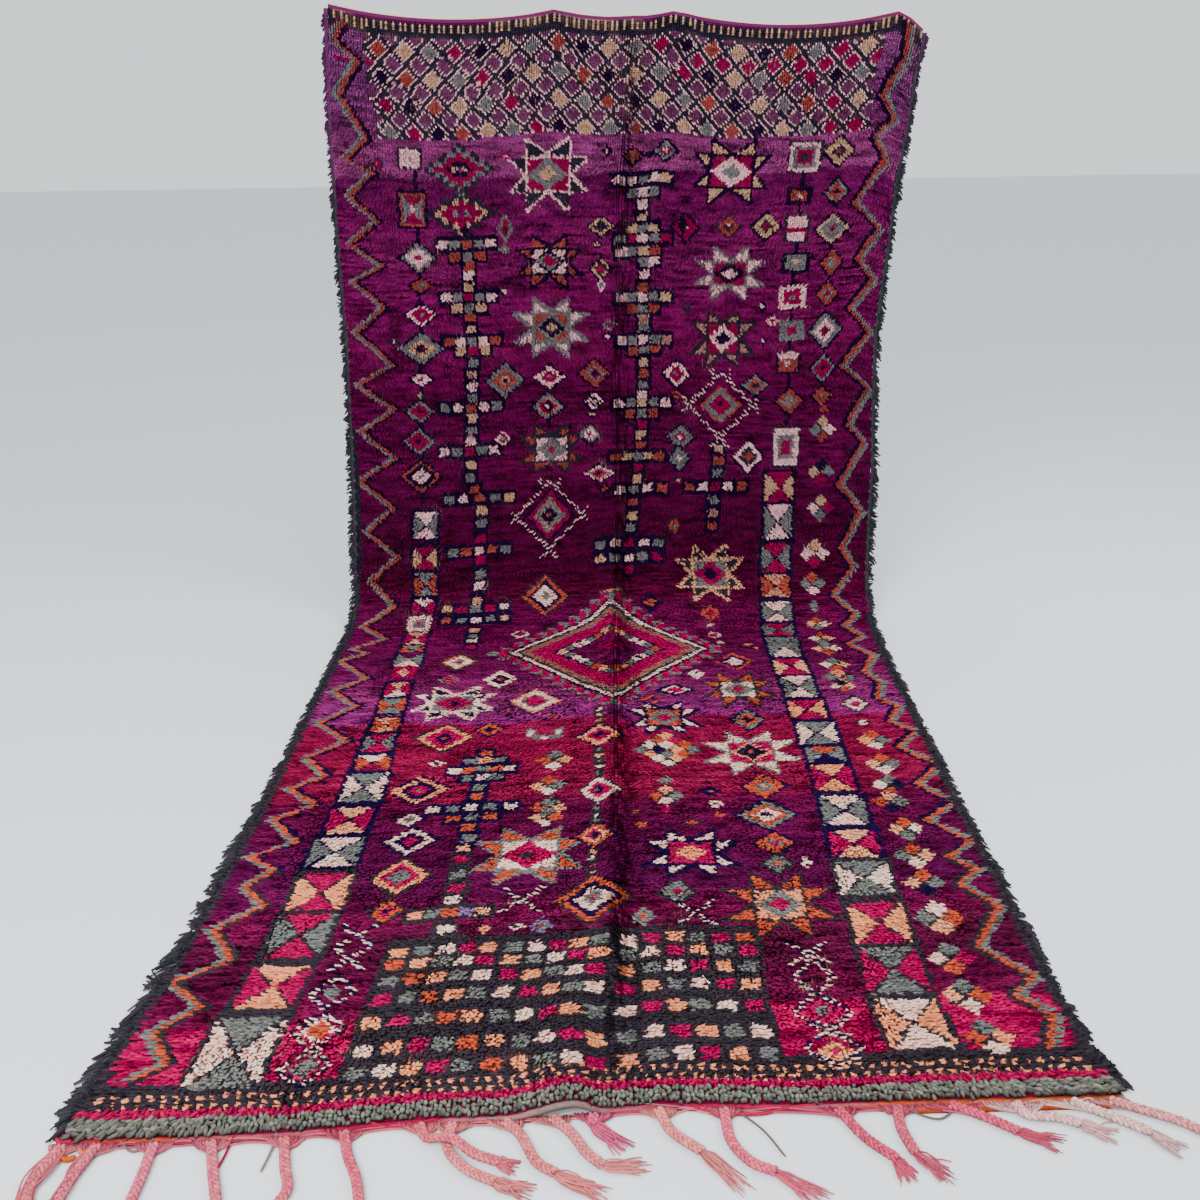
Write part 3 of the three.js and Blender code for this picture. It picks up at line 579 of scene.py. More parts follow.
# Lozenges: x, down, half width, half height, rings from the rim to the middle. The larger bright ones have
# a dark outline, except on the bend.
lozenges = (
    (534, 654, 28, 50, "SCN"),
    (234, 740, 63, 46, "SWWC"), (240, 830, 50, 34, "NOOS"), (240, 926, 62, 46, "NWCCS"),
    (240, 1037, 80, 50, "SSYYNC"), (237, 1136, 52, 30, "NWWC"), (234, 1193, 24, 18, "KY"),
    (231, 1247, 52, 38, "SCCN"), (225, 1346, 56, 44, "SCCN"), (231, 1465, 70, 54, "ONNWWS"),
    (528, 1151, 66, 58, "SSOOPN"), (684, 1148, 62, 46, "NWWCCS"), (843, 1138, 66, 58, "NOOSGN"),
    (681, 1247, 56, 44, "SPCNW"), (843, 1232, 32, 30, "WNW"), (834, 1274, 22, 14, "NY"),
    (522, 1349, 28, 26, "WCS"), (828, 1343, 38, 32, "SWWC"), (864, 1477, 52, 30, "WPCN"),
    (885, 1534, 26, 24, "NO"), (687, 1618, 78, 86, "CCSPSNNO"), (669, 1906, 88, 90, "KOONNWWWSS"),
    (861, 791, 34, 34, "YKCC"), (866, 846, 16, 26, "WS"), (890, 976, 28, 20, "SC"), (885, 1012, 16, 16, "NW"),
    (870, 414, 22, 20, "NY"), (858, 654, 42, 30, "YKN"), (846, 710, 20, 16, "NY"), (531, 722, 22, 16, "SY"),
    (402, 2280, 72, 66, "KOWWSC"), (387, 2406, 34, 36, "SCCO"), (549, 2412, 54, 58, "WWNNO"),
    (669, 2555, 78, 74, "YWWSCCCC"), (591, 2093, 34, 32, "WGC"),
    (420, 2752, 90, 84, "KPPCCCNNO"), (546, 2716, 38, 38, "OONN"), (414, 2882, 28, 18, "WK"),
    (387, 3008, 78, 66, "PPNNCCS"), (384, 3140, 32, 26, "WS"), (402, 3230, 64, 54, "WWNNCC"),
    (405, 3368, 82, 78, "KPPCCSSS"), (399, 3490, 38, 40, "OOCN"), (741, 2870, 26, 22, "SS"),
    (864, 2772, 60, 62, "PPCCNN"), (868, 3050, 60, 72, "KWWCCNS"), (866, 3248, 48, 50, "OYCN"),
    (872, 3488, 84, 86, "OONNWWSSC"), (762, 3568, 30, 27, "LSC"), (636, 3574, 16, 16, "P"),
    (705, 3568, 18, 16, "WK"),
    (951, 432, 40, 34, "NOOS"), (1059, 423, 34, 30, "SCW"), (1140, 660, 44, 42, "CCCY"),
    (1284, 651, 48, 42, "KOOKW"), (1407, 648, 46, 44, "YYKC"), (1131, 654, 18, 40, "N"),
    (1416, 914, 18, 22, "NW"), (1158, 920, 22, 20, "KG"), (1452, 965, 26, 20, "WC"), (1422, 1031, 14, 14, "NW"),
    (1128, 1145, 46, 44, "WWCCS"), (1128, 1214, 18, 18, "OG"), (1401, 1178, 42, 34, "SOK"),
    (1146, 1358, 46, 38, "SSCW"), (1143, 1432, 38, 42, "SSSW"), (1140, 1504, 22, 12, "KY"),
    (1386, 1426, 52, 56, "WWKKOO"), (1131, 1663, 30, 38, "KOOS"), (1044, 1945, 44, 44, "NNOO"),
    (1254, 1990, 42, 38, "OC"), (1257, 2127, 38, 38, "NWCC"), (1305, 2325, 62, 62, "OGNWWW"),
    (1173, 2406, 26, 34, "WWN"), (1098, 2514, 66, 42, "NNWCCC"), (1029, 2568, 34, 26, "OGN"),
    (1299, 2694, 46, 58, "SSOONN"), (1158, 3065, 42, 24, "NNO"), (1305, 3044, 68, 64, "NOOOSSP"),
    (1302, 3173, 76, 62, "SSOOWWNN"), (1311, 3292, 50, 44, "OOSC"), (1311, 3374, 34, 36, "SSO"),
    (1380, 3374, 14, 20, "W"), (1170, 3122, 24, 20, "WK"), (1176, 3170, 14, 12, "O"), (960, 3149, 18, 16, "KO"),
    (1044, 3152, 16, 16, "C"), (978, 3212, 24, 20, "KOO"), (1110, 3206, 28, 20, "KOO"),
    (1068, 3478, 38, 44, "SSC"), (990, 3560, 28, 32, "SSO"), (1044, 3014, 22, 18, "S"),
    (1626, 414, 46, 48, "YYKO"), (1635, 546, 38, 42, "SOON"), (1635, 668, 56, 48, "YSSC"),
    (1644, 779, 38, 46, "OOSS"), (1641, 881, 36, 42, "OOSC"), (1638, 1004, 56, 62, "SSWWCK"),
    (1635, 1130, 44, 46, "SCCN"), (1635, 1223, 36, 30, "OOS"), (1644, 1268, 18, 12, "O"),
    (1521, 1238, 50, 44, "OOSSP"), (1623, 1972, 20, 26, "S"), (1632, 2616, 48, 54, "KWWCG"),
    (1632, 2726, 30, 22, "KWC"), (708, 872, 26, 6, "C"), (144, 1016, 22, 10, "KW"), (528, 858, 14, 22, "KW"),
)
for x, d, wide, tall, rings in lozenges:
    if rings[0] not in "KN" and wide > 30 and (d < 1700 or d > 2600):
        lozenge(x, d, wide + 11, tall + 10, dark_round(d))
    lozenge(x, d, wide, tall, rings)
stepped(384, 462, 118, 80, "KSCCNY", 15)
stepped(387, 600, 116, 76, "KYCCS", 19)

# Four-lobed motifs, small lozenges round a point: x, down, spread, dyes of the top, left, right and foot lobes
posies = (
    (741, 2888, 27, "SOPW"), (729, 3014, 27, "OPSW"), (738, 3118, 26, "SOYW"), (734, 3160, 24, "SYOW"),
    (1044, 3086, 26, "YOSW"), (1644, 1340, 26, "YSWO"), (1647, 1486, 26, "NYSC"), (1650, 1612, 26, "YWCS"),
    (1635, 1772, 28, "YWWC"), (1626, 1880, 26, "OSSW"), (1622, 2060, 24, "OYWS"), (1620, 2168, 25, "OWYS"),
    (1623, 2246, 26, "SYWO"), (1626, 2360, 27, "SWYO"), (1622, 2446, 28, "PSSY"), (1620, 2506, 22, "NWYO"),
    (1641, 2825, 28, "OPSW"), (1641, 2948, 28, "OYSW"), (1636, 3052, 26, "SWNO"), (1626, 3130, 28, "YOSN"),
    (1644, 3250, 27, "OYWS"), (1644, 3356, 28, "OSYW"), (1647, 3458, 28, "OYSN"), (1650, 3584, 32, "WSOY"),
    (1641, 3712, 28, "SWCO"), (1644, 3822, 28, "SYOW"), (1641, 3934, 26, "SOPW"),
)
for x, d, spread, dyes in posies:
    lozenge(x, d, spread * 1.9, spread * 1.9, "K")
    for letter, (step_x, step_d) in zip(dyes, ((0, -1), (-1, 0), (1, 0), (0, 1))):
        lozenge(x + step_x * spread, d + step_d * spread, spread * 0.86, spread * 0.86, letter)

# A larger lozenge of sixteen small ones, right of the middle
for number, letter in enumerate("POWSCWNPOPSWSOPW"):
    across_step, down_step = divmod(number, 4)
    x, d = 1053 + (across_step - down_step) * 24, 2855 + (across_step + down_step - 3) * 24
    lozenge(x, d, 27, 27, "K")
    lozenge(x, d, 22, 22, letter)

# Dotted figures in pale and navy knots by turns: crosses, zigzag columns and the rays round two lozenges
dotted = np.zeros(knot_x.shape, bool)
dots = np.where((row_number + column_number // 2) % 2 == 0, letters.index("W"), letters.index("N"))


def dotted_line(x1, d1, x2, d2):
    along_x, along_d = x2 - x1, d2 - d1
    length = math.hypot(along_x, along_d)
    t = ((wavy_x - x1) * along_x + (wavy_d - d1) * along_d) / length
    apart = np.abs((wavy_x - x1) * along_d - (wavy_d - d1) * along_x) / length
    where = (t > 0) & (t < length) & (apart < 6)
    chart[where] = dots[where]
    dotted[where] = True


def dotted_lozenge(x, d, wide, tall):
    for side in (-1, 1):
        for end in (-1, 1):
            dotted_line(x + side * wide, d, x, d + end * tall)


for x, d, wide, tall in (
    (705, 3478, 48, 44), (1107, 3552, 52, 48), (354, 3566, 42, 36), (356, 3640, 40, 36), (1341, 3684, 44, 34),
    (1347, 3900, 36, 24),
):
    dotted_line(x - wide, d - tall, x + wide, d + tall)
    dotted_line(x - wide, d + tall, x + wide, d - tall)
for row in (
    (354, 3736, 46, 46), (360, 3842, 52, 52), (360, 3932, 46, 46), (1344, 3754, 42, 50), (1344, 3856, 56, 58),
    (1341, 3950, 56, 48),
):
    dotted_lozenge(*row)
for x, d, half in ((687, 1618, 118), (1284, 1247, 112)):
    dotted_lozenge(x, d, half, half)
    for side in (-1, 1):
        for x1, d1, x2, d2 in (
            (half - 20, 22, half + 22, -26), (half - 20, -22, half + 22, 26),
            (20, half - 26, -30, half + 34), (22, 30 - half, 34, -8 - half),
        ):
            dotted_line(x + side * x1, d + d1, x + side * x2, d + d2)
for row in (
    (1284, 1247, 72, 68, "OSSCCCN"), (354, 3736, 22, 22, "S"), (360, 3842, 34, 36, "WOOO"),
    (360, 3932, 26, 28, "SS"), (1344, 3852, 36, 38, "CCSS"), (1341, 3958, 34, 30, "PPC"),
):
    lozenge(*row)

# Middle lozenge: crimson and sage hooks outside it, then navy, white, charcoal, sage and orange lines, a
# crimson band and a checked one
STAIR = 37
dx, dd = wavy_x - 903, wavy_d - 2230
half_wide, half_tall = np.where(dx < 0, 322, 306), np.where(dd < 0, 286, 314)
share = np.abs(dx) / half_wide + np.abs(dd) / half_tall
step_x = np.floor(np.abs(dx) / STAIR)
stair_share = (step_x + 0.5) * STAIR / half_wide + np.abs(dd) / half_tall
part_x = np.abs(dx) / STAIR - step_x
knot_in((share > 1) & (stair_share < 1.24), "S")
knot_in((share > 1) & (stair_share < 1.2) & (part_x > 0.3), "C")
knot_in((share > 1) & (stair_share < 1.11) & (part_x < 0.4), "G")
for low, high, letter in (
    (1.035, 1.085, "N"), (0.985, 1.04, "W"), (0.935, 0.985, "K"), (0.905, 0.935, "S"), (0.865, 0.905, "O"),
    (0.835, 0.865, "S"), (0.60, 0.835, "C"), (0.42, 0.60, "N"), (0, 0.42, "G"),
):
    knot_in((share >= low) & (share < high), letter)
along_ring = np.where(dx * dd < 0, dx + dd * 0.94, dx - dd * 0.94) / 43 + 50
ring_checks = (share > 0.43) & (share < 0.57) & (along_ring % 1 < 0.78)
for number, letter in enumerate("WSYOSW"):
    knot_in(ring_checks & ((along_ring.astype(int) * 5 + (dx > 0) * 2) % 6 == number), letter)
for row in (
    (900, 2205, 44, 40, "CGC"), (903, 1917, 26, 9, "SC"), (903, 1898, 34, 7, "P"), (903, 1932, 9, 24, "S"),
):
    lozenge(*row)

# Checkerboard at the front end: two sets of columns. Each row's dyes follow the last row's, one square on.
knot_in((wavy_d > 3592) & (wavy_x > 428) & (wavy_x < 1246), "K")
for number, d in enumerate((3631, 3671, 3718, 3769, 3832, 3901, 3958)):
    for columns, cycle in (
        ((459, 511, 560, 606, 653, 706, 758, 808, 853, 896), "SWPCSOPSWCPSWCPS"),
        ((957, 1010, 1061, 1110, 1162, 1215), "PSWCPSWCPSCO"),
    ):
        for place, x in enumerate(columns):
            block(x, d, 18, 15, cycle[6 + place - number])

# Charcoal stems with beads, left of the crease: from, to, beads
for first, last, beads in (
    (2612, 2706, "WYP"), (2842, 2984, "SYSWS"), (3124, 3200, "SWS"), (3300, 3400, "YWCY"),
):
    block(866, (first + last) / 2, 14, (last - first) / 2, "K")
    for number, letter in enumerate(beads):
        lozenge(866, first + (number + 0.5) * (last - first) / len(beads), 11, 10, letter)

# Small odd marks, a sage and pale mark of three blocks, and loose navy knots on the violet batch
for row in (
    (534, 426, 22, 14, "CW"), (114, 453, 24, 20, "KCY"), (390, 543, 22, 20, "KS"), (399, 654, 18, 22, "N"),
    (237, 1517, 10, 10, "O"), (1008, 432, 34, 14, "N"), (1254, 2052, 14, 10, "W"), (1266, 2184, 22, 8, "W"),
    (1368, 2205, 16, 7, "P"), (1386, 2226, 14, 6, "P"), (708, 2828, 24, 12, "C"), (238, 2340, 20, 28, "WYY"),
):
    lozenge(*row)
for x, d, wide, tall in ((668, 2744, 14, 26), (748, 2744, 14, 26), (708, 2768, 30, 12)):
    block(x, d, wide, tall, "SW")
speckled = (np.abs(wavy_x - 669) / 145 + np.abs(wavy_d - 2600) / 130 < 1) & (chart == 0) & (wavy_d < 2676)
knot_in(speckled & (random.uniform(0, 1, knot_x.shape) < 0.34), "N")
knot_in(speckled & (random.uniform(0, 1, knot_x.shape) < 0.09), "O")

# Front rows: two rows of short peach dashes on charcoal and a crimson line
front_row = KNOT_ROWS - 1 - row_number
upper_dashes = (front_row > 4) & (front_row < 7) & (column_number % 3 == 0)
lower_dashes = (front_row > 1) & (front_row < 4) & (column_number % 3 == 1)
knot_in((upper_dashes | lower_dashes) & (edge_x > 24), "P")
knot_in((knot_d > 4018) & (edge_x > 30), "C")


# Wool pile: one tuft for each knot, about 15 mm long and 6 mm wide, leaning over so that only its side shows.
# The yarn ends lie to the left or the right and a little down the rug, and lengthwise only at the crease.
def wool(name, grain, detail=2, shades=(0.8, 1.2), relief=(0.5, 0.0012), specular=0.08):
    """A matt wool in the colour of the yarn attribute, with streaks and a relief of spun fibres."""
    material, tree = new_material(name)
    yarn = add_node(tree, "ShaderNodeAttribute", attribute_name="yarn", attribute_type="GEOMETRY")
    place_on = add_node(tree, "ShaderNodeTexCoord").outputs["Object"]
    fibres = add_node(tree, "ShaderNodeTexNoise", {"Vector": place_on, "Scale": grain, "Detail": detail})
    fibres = fibres.outputs[0]
    streaks = add_node(tree, "ShaderNodeMapRange", {0: fibres, 1: 0.3, 2: 0.7, 3: shades[0], 4: shades[1]})
    tint = add_node(
        tree, "ShaderNodeVectorMath", {0: yarn.outputs["Color"], 1: streaks.outputs[0]}, operation="MULTIPLY")
    bump = add_node(tree, "ShaderNodeBump", {"Height": fibres, "Strength": relief[0], "Distance": relief[1]})
    shader = add_node(tree, "ShaderNodeBsdfPrincipled", {
        "Base Color": tint.outputs[0], "Normal": bump.outputs[0], "Roughness": 0.95,
        "Specular IOR Level": specular,
    })
    add_node(tree, "ShaderNodeOutputMaterial", {"Surface": shader.outputs[0]})
    return material


def give_cells(piece, cells, size, spots):
    """A flat map on which each of the piece's like parts, such as its tufts, has a small cell of its own."""
    places = cells[:, None, :] + (np.array(spots) - 0.5) * size
    corner_numbers = np.empty(len(piece.data.loops), np.int32)
    piece.data.loops.foreach_get("vertex_index", corner_numbers)
    flat = piece.data.uv_layers.new(name="OFBake")
    flat.data.foreach_set("uv", places.reshape(-1, 2)[corner_numbers].astype(np.float32).ravel())


# Spun fibres are far under a millimetre thick, so their streaks are drawn 2.5 mm wide
pile_material = wool("hand_spun_wool_pile", 400, 3, (0.82, 1.16), (0.35, 0.001), 0.0)
yarn_colour = np.array([[linear(colour) for colour in pair] for pair in yarns.values()])
# The hanging half's darker copies of the dyes are painted shade, mixed in over the bend
hanging_share = np.interp(knot_d, [1600, 2300], [1, 0])[..., None]
dyed_with_painted_shade = yarn_colour[chart, 0] * (1 - hanging_share) + yarn_colour[chart, 1] * hanging_share
knot_colour = np.where((chart == 0)[..., None], ground, dyed_with_painted_shade)
# Uneven dyeing and painted light: each row's own shade, partly dye and partly painted shadow between rows, broad
# streaks of dye, narrow streaks one row tall on the ground that are painted highlights and shade of lit tufts,
# and each knot's own shade
abrash_and_painted_light = 1 + np.random.default_rng(6).normal(0, 0.07, (KNOT_ROWS, 1))
abrash_and_painted_light = abrash_and_painted_light + 0.07 * soft_noise(120, 16, 7) + 0.06 * soft_noise(300, 120, 8)
abrash_and_painted_light += np.where(chart == 0, 0.7 * soft_noise(42, 7.6, 17), 0) + scatter(0.18)
# At the crease the pile parts in lengthwise lines, and the roots between them are in shadow, painted as darker
# knots
parting_shade = np.clip(0.5 + 1.6 * soft_noise(7.4, 34, 21), 0, 1)
parting_shade *= raised_cosine(crease_x / np.where(crease_x < 0, 34, 82))
parting_shade *= np.interp(knot_d, [56, 120, 3900, 4040], [0.3, 1, 1, 0.4])
knot_colour = np.clip(knot_colour * (abrash_and_painted_light * (1 - 0.72 * parting_shade))[..., None], 0.001, 0.86)

TUFT_ROOT = 3.0
HALF_ROOT = 2.6 * MM
across = knot_x / FLAT_WIDE
roots = cloth(across, knot_d, TUFT_ROOT)
down_way = unit(cloth(across, knot_d + 2, TUFT_ROOT) - roots)
outward = unit(np.cross(down_way, cloth(across + 0.001, knot_d, TUFT_ROOT) - roots))
flat_way = np.cos(heading)[..., None] * down_way + np.sin(heading)[..., None] * np.cross(outward, down_way)
lean_way = np.sin(tilt)[..., None] * flat_way + np.cos(tilt)[..., None] * outward
width_way = np.cross(outward, flat_way)
ridge_way = np.cross(lean_way, width_way)
tips = roots + lean_way * (long * MM)[..., None]
# Pale knots and dotted figures are of thinner yarn, and the dashes and the front rows of thicker yarn
thick_yarn = 1 - 0.26 * (in_band & pale_knots) - 0.3 * dotted + 0.6 * hem_dashes
thick_yarn += 0.2 * ((knot_d > 3990) & (knot_d < 4018)) + 0.2 * np.clip((knot_d - 2300) / 800, 0, 1)
half_tip = (3.2 * thick_yarn + scatter(0.4))[..., None] * MM
# A tuft's points are both sides of its root, its ridge and both sides of its tip. Then come their painted light,
# dark shade at the root and a highlight at the tip, its faces and the points' places in its cell.
tuft_points = np.stack([
    roots - width_way * HALF_ROOT,
    roots + width_way * HALF_ROOT,
    roots + ridge_way * (4.4 * MM * thick_yarn)[..., None],
    tips - width_way * half_tip,
    tips + width_way * half_tip,
], -2)
tuft_light = np.array([0.22, 0.22, 0.6, 1.16, 1.16])[:, None]
tuft_faces = ([0, 1, 4, 3],), ([0, 3, 2], [1, 2, 4], [2, 3, 4])
tuft_spots = ((0.1, 0.9), (0.9, 0.9), (0.5, 0.9), (0.1, 0.1), (0.9, 0.1))

# The pile is worked in five lengthwise strips of like width. On its flat map each is folded into four columns.
sewn_pieces = []
STRIP_NAMES = ("pile_left_side", "pile_left", "pile_middle", "pile_right", "pile_right_side")
FOLDS = 4
FOLD_ROWS = -(-KNOT_ROWS // FOLDS)
strip_ends = np.linspace(0, KNOTS_ACROSS, len(STRIP_NAMES) + 1).astype(int)
for name, first, last in zip(STRIP_NAMES, strip_ends[:-1], strip_ends[1:]):
    faces = like_faces(KNOT_ROWS * (last - first), len(tuft_spots), *tuft_faces)
    piece = piece_from(name, tuft_points[:, first:last], faces, pile_material)
    dye(piece, knot_colour[:, first:last, None, :] * tuft_light)
    strip_rows, strip_columns = row_number[:, first:last], column_number[:, first:last] - first
    cell_u = (strip_rows // FOLD_ROWS + (strip_columns + 0.5) / (last - first)) / FOLDS
    cells = np.stack([cell_u, (strip_rows % FOLD_ROWS + 0.5) / FOLD_ROWS], -1).reshape(-1, 2)
    give_cells(piece, cells, (1 / FOLDS / (last - first), 1 / FOLD_ROWS), tuft_spots)
    sewn_pieces.append(piece)

# The foundation itself, in the knots' colours at their roots darkened as painted shade among the tufts, with a
# purple hem and a straw-coloured top edge
foundation_rows = np.concatenate([(0, 3, 4, 13, 14, 30, 50), np.linspace(72, STRIP_START + 2, 96)])
foundation_columns = np.linspace(0, 1, 46)
# Woven wool is as matt as the pile, and the blurred weave shows as 4 mm streaks
foundation_material = wool("woven_wool_foundation", 260)
foundation = slab(
    "woven_foundation", foundation_columns, foundation_rows[:, None], FOUNDATION_LIFTS, foundation_material)
row_at = np.clip((foundation_rows - PILE_START) / KNOT_TALL, 0, KNOT_ROWS - 1).astype(int)
column_at = np.clip(foundation_columns * KNOTS_ACROSS, 0, KNOTS_ACROSS - 1).astype(int)
# Painted shade: the knots' colours at 0.4, where the pile's roots lie in shadow
top_colour_and_root_shade = knot_colour[row_at][:, column_at] * 0.4
top_colour_and_root_shade[foundation_rows < 13.5] = linear("#5e1a4c")
top_colour_and_root_shade[foundation_rows < 3.5] = linear("#d8bd92")
dye(foundation, np.stack([top_colour_and_root_shade, np.broadcast_to(linear("#5d4148"), top_colour_and_root_shade.shape)]))
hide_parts("rug_body")


# Backs of the knots: on the hanging length's reverse every knot shows as a small flat pad, one for each tuft
BACK_LENGTH = 1790
BACK_ROWS = int(BACK_LENGTH / KNOT_TALL)
HALF_PAD_ACROSS, HALF_PAD_DOWN = 3.2 / FLAT_WIDE, 3.0
back_x, back_d = across[:BACK_ROWS], knot_d[:BACK_ROWS]
pad_corners = np.stack([
    cloth(back_x + u * HALF_PAD_ACROSS, back_d + v * HALF_PAD_DOWN, -0.5 + 0.25 * (u - v))
    for u, v in ((-1, -1), (1, -1), (1, 1), (-1, 1))
], -2)
pad_faces = like_faces(back_x.size, 4, [(0, 1, 2, 3)])
pads = piece_from("knot_backs", pad_corners, pad_faces, foundation_material, False)
# The pads take the knots' colours, with the painted highlights and shade that these carry
dye(pads, knot_colour[:BACK_ROWS] * 0.85 + 0.02)
pad_cells = np.stack([back_x, (row_number[:BACK_ROWS] + 0.5) / BACK_ROWS], -1).reshape(-1, 2)
give_cells(pads, pad_cells, (1 / KNOTS_ACROSS, 1 / BACK_ROWS), ((0.1, 0.1), (0.9, 0.1), (0.9, 0.9), (0.1, 0.9)))
sewn_pieces.append(pads)


# Selvedges: along each side a charcoal wool cord wrapped over the outer warps, 14 mm wide, and a shag of loose
# charcoal ends that stick out of it, longest on the floor. Made of tapering three-sided strands.
def tube_faces(tubes, rings, sides):
    """Faces of closed tubes whose points run ring by ring: quads along them, then a flat end at each tip."""
    ring = np.arange(sides)
    quads = np.stack([ring, (ring + 1) % sides, (ring + 1) % sides + sides, ring + sides], -1)
    quads = (np.arange(rings - 1)[:, None, None] * sides + quads).reshape(-1, 4)
    ends = np.stack([ring[::-1], ring + (rings - 1) * sides])
    return like_faces(tubes, rings * sides, quads, ends)


def give_square_of_cells(piece, count, spots):
    side = math.ceil(math.sqrt(count))
    number = np.arange(count)
    cells = np.stack([(number % side + 0.5) / side, (number // side + 0.5) / side], -1)
    give_cells(piece, cells, 1 / side, spots)


def strands_from(name, paths, radii, material, sides=3):
    """A joined mesh of closed strands. Paths are rows of points in metres, with a radius at each point."""
    paths, radii = np.asarray(paths, float), np.asarray(radii, float)
    count, rings = radii.shape
    along = unit(np.gradient(paths, axis=1))
    side = unit(np.cross(along, (0.11, -0.5, 0.86)))
    turn = np.arange(sides) * 2 * math.pi / sides + math.pi / 2
    over = np.cross(along, side)
    out = side[..., None, :] * np.cos(turn)[:, None] + over[..., None, :] * np.sin(turn)[:, None]
    points = paths[..., None, :] + out * radii[..., None, None]
    piece = piece_from(name, points, tube_faces(count, rings, sides), material)
    spots = [(0.1 + 0.8 * s / sides, 0.1 + 0.8 * r / (rings - 1)) for r in range(rings) for s in range(sides)]
    give_square_of_cells(piece, count, spots)
    return piece


# Tightly wrapped dark wool: matt, with its turns and fibres as 3 mm streaks
edge_material = wool("overcast_edge_wool", 330)
charcoal, purple_edge = np.array(linear("#2a2b2f")), np.array(linear("#55204c"))
# How far down the rug each side's yarn has turned from purple to charcoal: down, share of charcoal
charcoal_share = {"left": ([0, 400, 640], [0.1, 0.3, 1]), "right": ([0, 80, 300], [0.5, 0.7, 1])}


def edge_dyes(side_name, down, spread):
    share = np.interp(down, *charcoal_share[side_name]) + random.normal(0, 0.12, len(down))
    share = np.clip(share, 0, 1)[:, None]
    tone = random.uniform(1 - spread, 1 + spread, (len(down), 1))
    return (charcoal * share + purple_edge * (1 - share)) * tone


CORD_STEP = 12.0
CORD_LIFT = 5.6
HALF_CORD_WIDE, HALF_CORD_TALL = SELVEDGE_WIDE / 2, 5.0
CORD_SIDES = 8
SHAG_START, SHAG_END, SHAG_TIPS_END = 24, PILE_END + 20, 4078
SHAG_SPACING, CLUMP = 2.6, 24
shag_reach = ([0, 600, 1500, 1900, 2800, 3200, 3600, 3960, 4060], [12, 15, 19, 20, 23, 33, 40, 40, 28])
LONGEST_RIGHT_SHAG = 22
for side_name, edge, outward_x in (("left", 0, -1), ("right", 1, 1)):
    # The wrapped cord: a soft flattened tube with a bulge at each turn of its yarn
    cord_d = np.arange(16, STRIP_START, CORD_STEP)
    edge_line = np.array([pile_edges(d)[edge] for d in cord_d])
    base_line = cloth(edge, cord_d, CORD_LIFT)
    facing = unit(cloth(edge, cord_d, CORD_LIFT + 1) - base_line)[:, None, :]
    base_line[:, 0] = (edge_line + outward_x * (HALF_CORD_WIDE - 0.6)) * MM
    turn = np.arange(CORD_SIDES) * 2 * math.pi / CORD_SIDES
    around_x, around_z = np.cos(turn)[:, None] * HALF_CORD_WIDE, np.sin(turn)[:, None] * HALF_CORD_TALL
    bulge = 1 + 0.09 * np.sin(np.arange(len(cord_d)) * 2.1)[:, None, None]
    ring_points = base_line[:, None, :] + MM * bulge * (around_x * (1, 0, 0) + around_z * facing)
    cord_faces = tube_faces(1, len(cord_d), CORD_SIDES)
    cord = piece_from(f"{side_name}_selvedge", ring_points, cord_faces, edge_material)
    dye(cord, edge_dyes(side_name, cord_d, 0.25))
    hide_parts(*(f"{side_name}_selvedge_{part}" for part in ("hanging", "bend", "floor")))

    # The shag: neighbouring strands cling together in small clumps
    count = int((SHAG_END - SHAG_START) / SHAG_SPACING)
    shag_d = np.sort(random.uniform(SHAG_START, SHAG_END, count))
    reach = np.interp(shag_d, *shag_reach)
    if side_name == "right":
        reach = np.minimum(reach, LONGEST_RIGHT_SHAG)
    clump_at = np.arange(0, 4200, CLUMP)
    clump_long, clump_way = (np.interp(shag_d, clump_at, random.normal(0, 1, len(clump_at))) for _ in range(2))
    reach = reach * np.clip(random.uniform(0.5, 1.15, count) + 0.14 * clump_long, 0.35, 1.3)
    sweep = (random.normal(0.35, 0.28, count) + 0.4 * clump_way) * reach + 5 * np.clip(1 - shag_d / 2100, 0, 1)
    root_x = np.interp(shag_d, cord_d, edge_line) + outward_x * random.uniform(1, 9, count)
    root_lift = random.uniform(4, 9.5, count)
    shag_paths = []
    for share, lift in ((0, 1), (0.5, 1.15), (1, 0.5)):
        at_d = np.minimum(shag_d + sweep * share ** 1.4, SHAG_TIPS_END)
        points = cloth(edge, at_d, np.maximum(root_lift * lift, FOUNDATION_LIFTS[0]))
        points[:, 0] = (root_x + outward_x * (3 + reach * share)) * MM
        shag_paths.append(points)
    thick = random.uniform(2.6, 4.6, count)
    shag_radii = np.stack([thick, thick, thick * 0.6], -1) * MM
    shag = strands_from(f"{side_name}_shag", np.stack(shag_paths, 1), shag_radii, edge_material)
    # Painted shade at the strands' roots, 0.5, and a painted highlight at their tips, 1.35
    dye(shag, edge_dyes(side_name, shag_d, 0.35)[:, None] * np.array([0.5, 1.0, 1.35])[:, None])
    sewn_pieces += [cord, shag]


